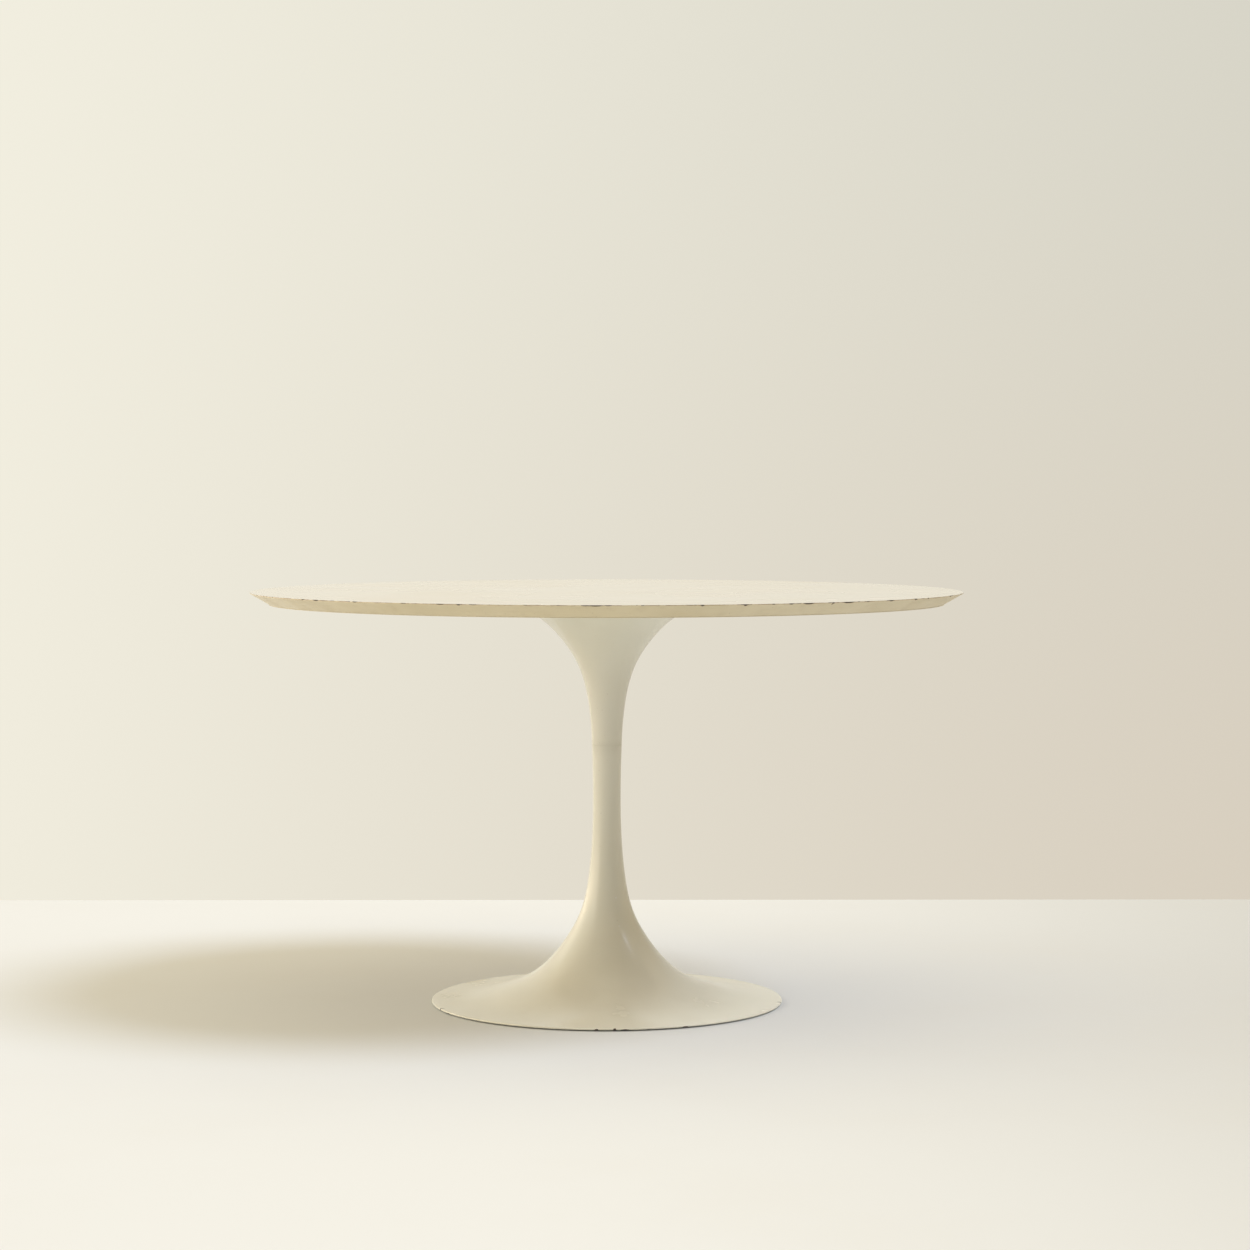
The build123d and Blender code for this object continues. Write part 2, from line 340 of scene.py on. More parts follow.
def make_object(skin: Skin, name: str, crease: float = 35.0) -> bpy.types.Object:
    """Put a skin into a mesh object at the origin.

    Args:
        skin: The finished skin.
        name: The piece's name.
        crease: Edges that turn by more than this many degrees are shaded sharp.

    Returns:
        The new object, linked to the scene.
    """
    mesh = bpy.data.meshes.new(name)
    mesh.vertices.add(len(skin.points))
    mesh.vertices.foreach_set("co", skin.points.astype(np.float32).ravel())
    corners = np.concatenate([skin.quads.ravel(), skin.triangles.ravel()])
    quad_starts = np.arange(len(skin.quads)) * 4
    triangle_starts = len(skin.quads) * 4 + np.arange(len(skin.triangles)) * 3
    starts = np.concatenate([quad_starts, triangle_starts])
    mesh.loops.add(len(corners))
    mesh.loops.foreach_set("vertex_index", corners.astype(np.int32))
    mesh.polygons.add(len(starts))
    mesh.polygons.foreach_set("loop_start", starts.astype(np.int32))
    mesh.update(calc_edges=True)
    chart = np.concatenate([skin.quad_chart.reshape(-1, 2), skin.triangle_chart.reshape(-1, 2)])
    layer = mesh.uv_layers.new(name="chart")
    layer.data.foreach_set("uv", chart.astype(np.float32).ravel())
    for kind, value in skin.values.items():
        attribute = mesh.attributes.new(kind, "FLOAT", "POINT")
        attribute.data.foreach_set("value", value.astype(np.float32))
    mesh.shade_smooth()
    mesh.set_sharp_from_angle(angle=math.radians(crease))
    piece = bpy.data.objects.new(name, mesh)
    bpy.context.scene.collection.objects.link(piece)
    return piece


# ---------------------------------------------------------------------------
# Finishes
# ---------------------------------------------------------------------------


class Blend(Enum):
    """How one colour is laid over another."""

    OVER = "MIX"
    ADDED = "ADD"


class Bench:
    """A shader under construction: adds nodes to a tree and joins their sockets."""

    def __init__(self, tree: bpy.types.NodeTree, coordinates: str) -> None:
        """Work on a tree, with its patterns laid out on the named texture coordinates."""
        self.tree = tree
        self.place = self.node("ShaderNodeTexCoord").outputs[coordinates]

    def node(self, kind: str, **settings: object) -> bpy.types.Node:
        """Add one node.

        Args:
            kind: The node's type.
            **settings: Its properties and what they are set to.

        Returns:
            The new node.
        """
        made = self.tree.nodes.new(kind)
        for key, value in settings.items():
            setattr(made, key, value)
        return made

    def feed(self, socket: Socket, value: object) -> None:
        """Join a socket to another one, or set its own value.

        Args:
            socket: The input that is fed.
            value: The output, number or colour that it is fed with.
        """
        if isinstance(value, Socket):
            self.tree.links.new(value, socket)
        elif isinstance(value, tuple) and len(value) == 3 and socket.type == "RGBA":
            socket.default_value = (*value, 1.0)
        else:
            socket.default_value = value

    def stretched(self, scale: tuple[float, float, float]) -> Socket:
        """The piece's coordinates scaled by a different amount along each axis.

        Args:
            scale: The three amounts. A larger one makes a pattern shorter that way.

        Returns:
            The scaled coordinates.
        """
        mapping = self.node("ShaderNodeMapping")
        self.feed(mapping.inputs["Vector"], self.place)
        mapping.inputs["Scale"].default_value = scale
        return mapping.outputs["Vector"]

    def noise(
        self, scale: float, detail: float = 3.0, rough: float = 0.5, at: object = None
    ) -> Socket:
        """Cloudy noise from about 0 to 1.

        Args:
            scale: How many features there are to the metre.
            detail: How many finer layers are added.
            rough: How strong each finer layer is beside the one before.
            at: Coordinates other than the piece's own.

        Returns:
            The noise.
        """
        made = self.node("ShaderNodeTexNoise")
        self.feed(made.inputs["Vector"], at or self.place)
        made.inputs["Scale"].default_value = scale
        made.inputs["Detail"].default_value = detail
        made.inputs["Roughness"].default_value = rough
        return made.outputs["Fac"]

    def hairs(self, way: float) -> Socket:
        """Hair scratches that run one way, in degrees from X, in a few worn places.

        They are the thin lines where a noise that is drawn out along the way passes its middle.

        Args:
            way: The way they run. It also shifts the worn places.

        Returns:
            The scratches' share.
        """
        mapping = self.node("ShaderNodeMapping")
        self.feed(mapping.inputs["Vector"], self.place)
        mapping.inputs["Rotation"].default_value = (0, 0, math.radians(way))
        mapping.inputs["Scale"].default_value = (0.02, 1.0, 1.0)
        drawn_out = self.noise(160, 1, 0.5, mapping.outputs["Vector"])
        off_middle = self.sum("ABSOLUTE", self.sum("SUBTRACT", drawn_out, 0.5))
        where = self.noise(5.0 + way / 90, 2, 0.5)
        return self.times(self.ramp(off_middle, 0.022, 0.004), self.ramp(where, 0.56, 0.68))

    def spot(self, turn: float, radius: float, height: float, size: float) -> Socket:
        """One small ragged spot: 1 near a place on the piece, 0 elsewhere.

        Args:
            turn: Degrees from the front towards the right.
            radius: The place's distance from the table's axis.
            height: The place's height.
            size: The spot's radius.

        Returns:
            The spot's share.
        """
        made = self.node("ShaderNodeVectorMath", operation="DISTANCE")
        self.feed(made.inputs[0], self.place)
        a = math.radians(turn)
        made.inputs[1].default_value = (radius * math.sin(a), -radius * math.cos(a), height)
        ragged = self.times(self.noise(900, 3, 0.6), size)
        away = self.plus(made.outputs["Value"], ragged)
        return self.ramp(away, 1.55 * size, 1.25 * size)

    def value(self, name: str) -> Socket:
        """A value that the skin keeps at its points."""
        return self.node("ShaderNodeAttribute", attribute_name=name).outputs["Fac"]

    def sum(self, how: str, a: object, b: object = 0.0) -> Socket:
        """One step of arithmetic.

        Args:
            how: The step, named as the Math node names it.
            a: The first value.
            b: The second value, where the step needs one.

        Returns:
            What it comes to.
        """
        made = self.node("ShaderNodeMath", operation=how)
        self.feed(made.inputs[0], a)
        self.feed(made.inputs[1], b)
        return made.outputs[0]

    def times(self, a: object, b: object) -> Socket:
        """One value multiplied by another."""
        return self.sum("MULTIPLY", a, b)

    def plus(self, a: object, b: object) -> Socket:
        """One value added to another."""
        return self.sum("ADD", a, b)

    def ramp(self, value: object, low: float, high: float, to: Pair = (0, 1)) -> Socket:
        """A value's way from one limit to another, eased at both ends.

        Args:
            value: The value that is followed.
            low: The limit where the way begins. It may be the larger of the two.
            high: The limit where the way ends.
            to: What comes out at the two limits.

        Returns:
            The eased value.
        """
        made = self.node("ShaderNodeMapRange", interpolation_type="SMOOTHSTEP")
        self.feed(made.inputs["Value"], value)
        for socket, number in zip(made.inputs[1:5], (low, high, *to)):
            socket.default_value = number
        return made.outputs["Result"]

    def mix(self, share: object, under: object, over: object, how: Blend = Blend.OVER) -> Socket:
        """Lay one colour over another.

        Args:
            share: How much of the upper colour is laid on.
            under: The lower colour.
            over: The upper colour.
            how: How it is laid on.

        Returns:
            The colour of both together.
        """
        made = self.node("ShaderNodeMix", data_type="RGBA", blend_type=how.value)
        self.feed(made.inputs["Factor"], share)
        self.feed(made.inputs["A"], under)
        self.feed(made.inputs["B"], over)
        return made.outputs["Result"]

    def axis(self, letter: str) -> Socket:
        """One of the piece's coordinates.

        Args:
            letter: X, Y or Z.

        Returns:
            That coordinate.
        """
        parts = self.node("ShaderNodeSeparateXYZ")
        self.feed(parts.inputs[0], self.place)
        return parts.outputs[letter]

    def relief(self, layers: Sequence[tuple[object, float, float]]) -> Socket:
        """Stack bump layers.

        Args:
            layers: For each layer its height, its strength and its distance in metres.

        Returns:
            The last layer's normal.
        """
        normal = None
        for height, strength, distance in layers:
            made = self.node("ShaderNodeBump")
            self.feed(made.inputs["Height"], height)
            made.inputs["Strength"].default_value = strength
            made.inputs["Distance"].default_value = distance
            if normal is not None:
                self.feed(made.inputs["Normal"], normal)
            normal = made.outputs["Normal"]
        return normal


class Coat(Bench):
    """A material under construction, on the piece's own object coordinates."""

    def __init__(self, name: str) -> None:
        """Start an empty material with a Principled surface, under the name given."""
        self.material = bpy.data.materials.new(name)
        self.material.use_nodes = True
        super().__init__(self.material.node_tree, "Object")
        self.surface = self.tree.nodes["Principled BSDF"]

    def frayed(self, name: str, fine: Socket, amount: float) -> Socket:
        """A value that the skin keeps at its points, its border frayed by fine noise."""
        return self.plus(self.value(name), self.times(self.sum("SUBTRACT", fine, 0.5), amount))

    def finish(
        self, colour: object, roughness: object, normal: object = None, **sockets: float
    ) -> Material:
        """Join colour, roughness and relief to the surface and set its plain numbers.

        Args:
            colour: Base colour, a socket or three numbers.
            roughness: A socket or a number.
            normal: The last relief layer's normal.
            **sockets: Numbers for other sockets, their names with underscores for spaces.

        Returns:
            The finished material.
        """
        self.feed(self.surface.inputs["Base Color"], colour)
        self.feed(self.surface.inputs["Roughness"], roughness)
        if normal is not None:
            self.feed(self.surface.inputs["Normal"], normal)
        for name, number in sockets.items():
            self.feed(self.surface.inputs[name.replace("_", " ")], number)
        return self.material


@dataclass(frozen=True)
class WhiteLaminate:
    """The sheet that people eat off: warm white, satin, with rubbed places and hair scratches."""

    white: Colour = (0.715, 0.70, 0.652)
    yellowed: Colour = (0.695, 0.67, 0.602)
    stained: Colour = (0.68, 0.62, 0.50)
    scratch: Colour = (0.48, 0.43, 0.34)
    scratch_ways: tuple[float, ...] = (12, 58, 103, 161)
    core: Colour = (0.060, 0.036, 0.020)
    kraft: Colour = (0.30, 0.185, 0.095)
    paint: Colour = (0.62, 0.53, 0.36)

    def material(self) -> Material:
        """Build the material."""
        b = Coat("white_laminate")
        cloud = b.noise(2.6, 2, 0.5)
        sheet = b.mix(b.ramp(cloud, 0.35, 0.7, (0, 0.75)), self.white, self.yellowed)
        sheet = b.mix(b.ramp(b.noise(7.0, 2, 0.5), 0.52, 0.80, (0, 0.20)), sheet, self.stained)
        rubbed = b.ramp(b.noise(4.0, 3, 0.5), 0.4, 0.7)
        for way in self.scratch_ways:
            sheet = b.mix(b.times(b.hairs(way), 0.10), sheet, self.scratch)
        chipped = b.ramp(b.frayed("chip", b.noise(900, 3, 0.6), 0.7), 0.42, 0.56)
        covered = b.ramp(b.noise(55, 4, 0.6), 0.42, 0.62)
        edge = b.mix(b.value("edge"), sheet, b.mix(covered, self.kraft, self.paint))
        colour = b.mix(chipped, edge, self.core)
        rough = b.plus(b.ramp(cloud, 0.3, 0.7, (0.23, 0.28)), b.times(rubbed, 0.06))
        rough = b.plus(rough, b.times(chipped, 0.4))
        normal = b.relief(((chipped, -0.6, 0.0006),))
        return b.finish(colour, rough, normal, Specular_IOR_Level=0.5)


@dataclass(frozen=True)
class EdgePaint:
    """Cream paint on the bevel, brushed along the rim, chipped to dark sealed board."""

    cream: Colour = (0.73, 0.64, 0.445)
    cloudy: Colour = (0.56, 0.475, 0.30)
    grimy: Colour = (0.46, 0.37, 0.22)
    brushed: Colour = (0.80, 0.74, 0.56)
    primer: Colour = (0.33, 0.24, 0.14)
    bare: Colour = (0.050, 0.031, 0.018)
    bare_light: Colour = (0.12, 0.075, 0.045)
    board: Colour = (0.36, 0.25, 0.15)
    board_dark: Colour = (0.25, 0.165, 0.095)
    nicks: tuple[tuple[float, float, float, float], ...] = (
        (35.8, 0.580, 0.6885, 2.2 * MM),
        (-4.6, 0.586, 0.6925, 0.9 * MM),
        (-4.2, 0.589, 0.6945, 0.7 * MM),
    )

    def material(self) -> Material:
        """Build the material."""
        b = Coat("painted_edge")
        brush = b.noise(9, 4, 0.65, b.stretched((1.0, 1.0, 60.0)))
        cloud = b.noise(5.0, 4, 0.6)
        grime = b.ramp(b.noise(16, 5, 0.7), 0.48, 0.80)
        paint = b.mix(b.ramp(cloud, 0.35, 0.75, (0, 0.55)), self.cream, self.cloudy)
        paint = b.mix(b.times(grime, 0.45), paint, self.grimy)
        paint = b.mix(b.ramp(brush, 0.3, 0.8, (0.0, 0.16)), paint, self.brushed)
        worn = b.frayed("chip", b.noise(700, 4, 0.65), 0.8)
        speck = b.ramp(b.noise(420, 2, 0.5), 0.735, 0.765)
        halo = b.ramp(worn, 0.18, 0.40)
        chipped = b.sum("MAXIMUM", b.ramp(worn, 0.42, 0.54), b.times(speck, 0.75))
        for turn, radius, z, size in self.nicks:
            chipped = b.sum("MAXIMUM", chipped, b.spot(turn, radius, z, size))
        paint = b.mix(b.times(halo, 0.8), paint, self.primer)
        dark = b.mix(b.ramp(b.noise(160, 3, 0.5), 0.4, 0.62), self.bare, self.bare_light)
        colour = b.mix(chipped, paint, dark)
        fibre = b.mix(b.ramp(b.noise(240, 4, 0.6), 0.3, 0.7), self.board, self.board_dark)
        colour = b.mix(b.value("raw"), colour, fibre)
        rough = b.plus(b.ramp(cloud, 0.3, 0.7, (0.32, 0.46)), b.times(chipped, 0.35))
        normal = b.relief(
            ((b.noise(130, 3, 0.5), 0.12, 0.0004), (brush, 0.10, 0.0004), (chipped, -0.7, 0.0006))
        )
        return b.finish(colour, rough, normal)


@dataclass(frozen=True)
class CreamEnamel:
    """Sprayed enamel on the castings: greenish cream, semi-gloss, with its knocks and dirt.

    The skin's values steer it: chip where enamel is lost, band where it has darkened over
    the joint, and raw where the casting was never painted.
    """

    cream: Colour = (0.835, 0.825, 0.72)
    aged: Colour = (0.79, 0.77, 0.645)
    dusty: Colour = (0.42, 0.36, 0.25)
    darkened: Colour = (0.38, 0.34, 0.24)
    speck: Colour = (0.22, 0.18, 0.12)
    touch_up: Colour = (0.90, 0.90, 0.86)
    iron: Colour = (0.045, 0.036, 0.03)
    rust: Colour = (0.16, 0.065, 0.028)
    inside: Colour = (0.17, 0.155, 0.135)
    inside_dark: Colour = (0.10, 0.085, 0.07)
    touched: tuple[tuple[float, float, float], ...] = ((25, 0.0378, 0.184), (23, 0.0538, 0.137))

    def material(self) -> Material:
        """Build the material."""
        b = Coat("cream_enamel")
        height = b.axis("Z")
        cloud = b.noise(3.2, 4, 0.55)
        coat = b.mix(b.ramp(cloud, 0.35, 0.72, (0, 0.6)), self.cream, self.aged)
        low = b.ramp(height, 0.055, 0.004)
        dust = b.times(low, b.ramp(b.noise(9, 4, 0.6), 0.42, 0.75))
        coat = b.mix(b.times(dust, 0.13), coat, self.dusty)
        coat = b.mix(b.times(b.value("band"), 0.09), coat, self.darkened)
        grey_specks = b.ramp(b.noise(330, 2, 0.5), 0.745, 0.775)
        coat = b.mix(b.times(grey_specks, 0.45), coat, self.speck)
        for turn, radius, z in self.touched:
            coat = b.mix(b.spot(turn, radius, z, 1.5 * MM), coat, self.touch_up)
        chipped = b.ramp(b.frayed("chip", b.noise(600, 4, 0.6), 0.7), 0.42, 0.54)
        rust = b.mix(b.ramp(b.noise(300, 4, 0.6), 0.45, 0.7), self.iron, self.rust)
        colour = b.mix(chipped, coat, rust)
        sand = b.noise(420, 4, 0.65)
        casting = b.mix(b.ramp(sand, 0.3, 0.7), self.inside, self.inside_dark)
        mist = b.times(b.ramp(height, 0.028, 0.003), b.ramp(b.noise(8, 3, 0.5), 0.3, 0.7, (0.6, 1)))
        mist = b.times(mist, b.ramp(b.noise(700, 3, 0.6), 0.3, 0.7, (0.5, 1)))
        casting = b.mix(b.times(mist, 0.9), casting, self.aged)
        raw = b.value("raw")
        colour = b.mix(raw, colour, casting)
        rough = b.plus(b.ramp(cloud, 0.3, 0.7, (0.17, 0.23)), b.times(dust, 0.10))
        rough = b.sum("MAXIMUM", rough, b.times(raw, 0.85))
        peel = (b.noise(260, 2, 0.5), 0.04, 0.0004)
        waves = (b.noise(17, 3, 0.5), 0.06, 0.0016)
        rough_cast = (b.times(sand, raw), 0.8, 0.0012)
        normal = b.relief((waves, peel, rough_cast, (chipped, -0.7, 0.0004)))
        return b.finish(colour, rough, normal, Specular_IOR_Level=0.5)


@dataclass(frozen=True)
class KraftBacker:
    """The brown phenolic sheet under the board, sanded and a little stained."""

    brown: Colour = (0.36, 0.25, 0.15)
    dark: Colour = (0.22, 0.145, 0.085)
    stained: Colour = (0.13, 0.085, 0.05)
    sanded: Colour = (0.50, 0.38, 0.25)
    paint: Colour = (0.66, 0.575, 0.40)

    def material(self) -> Material:
        """Build the material."""
        b = Coat("kraft_backer")
        fibre = b.noise(120, 5, 0.65, b.stretched((1.0, 5.0, 1.0)))
        sanding = b.noise(60, 3, 0.6, b.stretched((0.6, 16.0, 1.0)))
        blot = b.ramp(b.noise(5, 4, 0.6), 0.45, 0.8)
        colour = b.mix(b.ramp(fibre, 0.3, 0.7), self.brown, self.dark)
        colour = b.mix(b.times(blot, 0.5), colour, self.stained)
        colour = b.mix(b.ramp(sanding, 0.62, 0.72, (0, 0.3)), colour, self.sanded)
        colour = b.mix(b.value("edge"), colour, self.paint)
        rough = b.ramp(fibre, 0.2, 0.8, (0.58, 0.78))
        return b.finish(colour, rough, b.relief(((fibre, 0.2, 0.0003), (sanding, 0.2, 0.0003))))


@dataclass(frozen=True)
class BlackPrimer:
    """Thin black primer over a rough iron spider, rubbed through on its edges."""

    black: Colour = (0.022, 0.022, 0.024)
    faded: Colour = (0.05, 0.042, 0.035)
    iron: Colour = (0.13, 0.12, 0.115)

    def material(self) -> Material:
        """Build the material."""
        b = Coat("black_primer")
        sand = b.noise(500, 4, 0.65)
        cloud = b.noise(40, 4, 0.6)
        pointed = b.node("ShaderNodeNewGeometry").outputs["Pointiness"]
        rubbed = b.times(b.ramp(pointed, 0.52, 0.60), b.ramp(cloud, 0.35, 0.6))
        colour = b.mix(b.ramp(cloud, 0.4, 0.75, (0, 0.5)), self.black, self.faded)
        colour = b.mix(rubbed, colour, self.iron)
        rough = b.ramp(sand, 0.2, 0.8, (0.42, 0.66))
        return b.finish(colour, rough, b.relief(((sand, 0.45, 0.0006),)))


@dataclass(frozen=True)
class ZincPlate:
    """Bright zinc on rod, nuts, washers, screws and studs, dulled and spotted with rust."""

    zinc: Colour = (0.56, 0.56, 0.54)
    dull: Colour = (0.36, 0.355, 0.34)
    rust: Colour = (0.20, 0.085, 0.035)

    def material(self) -> Material:
        """Build the material."""
        b = Coat("zinc_plate")
        spangle = b.noise(180, 3, 0.6)
        fine = b.noise(1400, 2, 0.5)
        colour = b.mix(b.ramp(spangle, 0.35, 0.7), self.zinc, self.dull)
        rusty = b.ramp(b.noise(90, 5, 0.7), 0.62, 0.74)
        colour = b.mix(b.times(rusty, 0.8), colour, self.rust)
        metal = b.sum("SUBTRACT", 0.95, b.times(rusty, 0.8))
        b.feed(b.surface.inputs["Metallic"], metal)
        rough = b.plus(b.ramp(fine, 0.3, 0.7, (0.26, 0.42)), b.times(rusty, 0.35))
        return b.finish(colour, rough, b.relief(((fine, 0.10, 0.0001), (rusty, 0.3, 0.0002))))


@dataclass(frozen=True)
class GlideNylon:
    """Black nylon of the glides, moulded with a fine grain and greyed where it meets the floor."""

    black: Colour = (0.020, 0.020, 0.021)
    grained: Colour = (0.034, 0.034, 0.034)
    scraped: Colour = (0.16, 0.155, 0.145)

    def material(self) -> Material:
        """Build the material."""
        b = Coat("glide_nylon")
        grain = b.noise(1800, 3, 0.6)
        drag = b.noise(240, 4, 0.65, b.stretched((1.0, 7.0, 1.0)))
        sole = b.ramp(b.axis("Z"), 0.0012, 0.0002)
        scraped = b.times(sole, b.ramp(drag, 0.42, 0.62))
        colour = b.mix(b.ramp(grain, 0.3, 0.7), self.black, self.grained)
        colour = b.mix(scraped, colour, self.scraped)
        rough = b.plus(b.ramp(grain, 0.3, 0.7, (0.45, 0.58)), b.times(scraped, 0.25))
        return b.finish(colour, rough, b.relief(((grain, 0.25, 0.0001), (drag, 0.12, 0.0002))))


@dataclass(frozen=True)
class Backdrop:
    """The plain pale tone behind the table, with painted light and shade: lighter on the left, shaded
    towards the right, and darker and browner low down towards the right.
    """

    lit_side: Colour = (0.950, 0.918, 0.795)
    shaded_side: Colour = (0.625, 0.608, 0.528)
    low: Colour = (0.69, 0.57, 0.45)

    def tone(self, b: Bench, x: object, z: object) -> Socket:
        """The tone in a direction.

        Args:
            b: The shader that the tone is built in.
            x: The direction's part towards the right.
            z: The direction's part upwards.

        Returns:
            The tone.
        """
        # Painted light and shade: the lighter tone on the left, the shaded tone on the right.
        tone = b.mix(b.ramp(x, -0.45, 0.45), self.lit_side, self.shaded_side)
        # Painted shade: darker and browner low down, more so towards the right.
        share = b.times(b.ramp(z, 0.16, -0.14), b.ramp(x, -0.30, 0.30, (0.02, 0.46)))
        return b.mix(share, tone, self.low)


@dataclass(frozen=True)
class StudioFloor:
    """The pale sealed floor of the studio. Its colour is painted lighter on the left and darker to
    the right, a painted light from the left, and behind its line it glows with the backdrop's painted
    tone.
    """

    left: Colour = (0.762, 0.785, 0.80)
    right: Colour = (0.585, 0.60, 0.60)
    cloudy: Colour = (0.66, 0.63, 0.56)
    none: Colour = (0.0, 0.0, 0.0)
    line: float = 1.30
    line_half: float = 4 * MM
    front: tuple[float, float, float] = (0.0, -5.4, 0.9)

    def material(self) -> Material:
        """Build the material."""
        b = Coat("studio_floor")
        # Painted light: the colour runs from lighter on the left to darker on the right, as if lit
        # from the left.
        side = b.ramp(b.axis("X"), -0.2, 1.9)
        colour = b.mix(side, self.left, self.right)
        cloud = b.noise(1.3, 4, 0.6)
        colour = b.mix(b.ramp(cloud, 0.4, 0.75, (0, 0.10)), colour, self.cloudy)
        way = b.node("ShaderNodeVectorMath", operation="SUBTRACT")
        b.feed(way.inputs[0], b.place)
        way.inputs[1].default_value = self.front
        ray = b.node("ShaderNodeVectorMath", operation="NORMALIZE")
        b.feed(ray.inputs[0], way.outputs[0])
        parts = b.node("ShaderNodeSeparateXYZ")
        b.feed(parts.inputs[0], ray.outputs[0])
        behind = b.ramp(b.axis("Y"), self.line - self.line_half, self.line + self.line_half)
        tone = Backdrop().tone(b, parts.outputs["X"], parts.outputs["Z"])
        # Painted glow: behind the line the floor, which is no lamp, shines with the backdrop's tone
        # and its painted light and shade.
        painted_backdrop_glow = b.mix(behind, self.none, tone)
        b.feed(b.surface.inputs["Emission Color"], painted_backdrop_glow)
        b.surface.inputs["Emission Strength"].default_value = 1.0
        colour = b.mix(behind, colour, self.none)
        material = b.finish(colour, 0.6, Specular_IOR_Level=0.0)
        material.cycles.emission_sampling = "NONE"
        return material


# ---------------------------------------------------------------------------
# The table
# ---------------------------------------------------------------------------


class Slot(Enum):
    """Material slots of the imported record."""

    LAMINATE = "white_laminate"
    BOARD = "painted_board"
    BACKING = "backing_laminate"
    ENAMEL = "cream_enamel"
    BLACK = "black_steel"
    ZINC = "zinc_steel"
    NYLON = "nylon"


@dataclass(frozen=True)
class Finishes:
    """One finished material of each kind, shared by all pieces that wear it."""

    laminate: Material
    edge: Material
    enamel: Material
    kraft: Material
    primer: Material
    zinc: Material
    nylon: Material

    @classmethod
    def mixed(cls) -> "Finishes":
        """Make every material once."""
        return cls(
            laminate=WhiteLaminate().material(),
            edge=EdgePaint().material(),
            enamel=CreamEnamel().material(),
            kraft=KraftBacker().material(),
            primer=BlackPrimer().material(),
            zinc=ZincPlate().material(),
            nylon=GlideNylon().material(),
        )


@dataclass
class Assembly:
    """A sub-assembly of the table: it builds its pieces and dresses them."""

    finishes: Finishes

    def dress(
        self, skin: Skin, node: str, slot: Slot, material: Material, body: str = "table"
    ) -> bpy.types.Object:
        """Make one piece that stands for a CAD node.

        Args:
            skin: The piece's finished skin.
            node: The CAD node that it stands for.
            slot: The record's material slot. It is not used.
            material: The finish that it wears.
            body: The rigid body that it rides on.

        Returns:
            The dressed piece.
        """
        piece = make_object(skin, f"{node}_skin")
        piece.data.materials.append(material)
        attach(piece, body)
        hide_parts(node)
        LOG.info("%s: %d faces in %s", piece.name, len(piece.data.polygons), material.name)
        return piece

    def build(self) -> None:
        """Build every piece of the sub-assembly."""
        raise NotImplementedError


@dataclass(frozen=True)
class Knock:
    """One knock in a painted rim: its place in degrees, and its sizes in millimetres.

    The length runs along the rim, the reach down it and the depth into it.
    """

    angle: float
    length: float
    reach: float
    depth: float = 0.5


@dataclass(frozen=True)
class Wear:
    """Knocks round a rim: some listed one by one, the rest scattered from a seed."""

    radius: float
    placed: tuple[Knock, ...]
    scattered: int
    length_spread: float
    reach_spread: float
    seed: int
    shortest: float = 1.5 * MM
    nearest: float = 0.4 * MM
    deepest: float = 0.6 * MM

    def knocks(self) -> np.ndarray:
        """All knocks as rows of angle (radians), length, reach and depth."""
        dice = np.random.default_rng(self.seed)
        share = dice.random((self.scattered, 4))
        length = self.shortest + self.length_spread * share[:, 1] ** 3
        reach = self.nearest + self.reach_spread * share[:, 2] ** 2
        rest = np.stack([share[:, 0] * TURN, length, reach, share[:, 3] * self.deepest], -1)
        mine = np.array([(k.angle, k.length, k.reach, k.depth) for k in self.placed])
        mine *= (math.radians(1), MM, MM, MM)
        return np.concatenate([mine, rest])

    def reach(self, turn: np.ndarray) -> tuple[np.ndarray, np.ndarray]:
        """How far down the rim is knocked at each angle, and how deep.

        Each knock is half an ellipse, reach x sqrt(1 - (2 s / length)^2), where s is the way
        along the rim from its middle. Where knocks meet, the larger counts.

        Args:
            turn: Angles in radians.

        Returns:
            The reach and the depth at every angle.
        """
        knock = self.knocks()
        apart = (turn[:, None] - knock[None, :, 0] + math.pi) % TURN - math.pi
        inside = np.sqrt(np.clip(1 - (2 * self.radius * apart / knock[None, :, 1]) ** 2, 0, None))
        reach = (inside * knock[None, :, 2]).max(axis=1)
        depth = (inside * knock[None, :, 3]).max(axis=1)
        return reach, depth


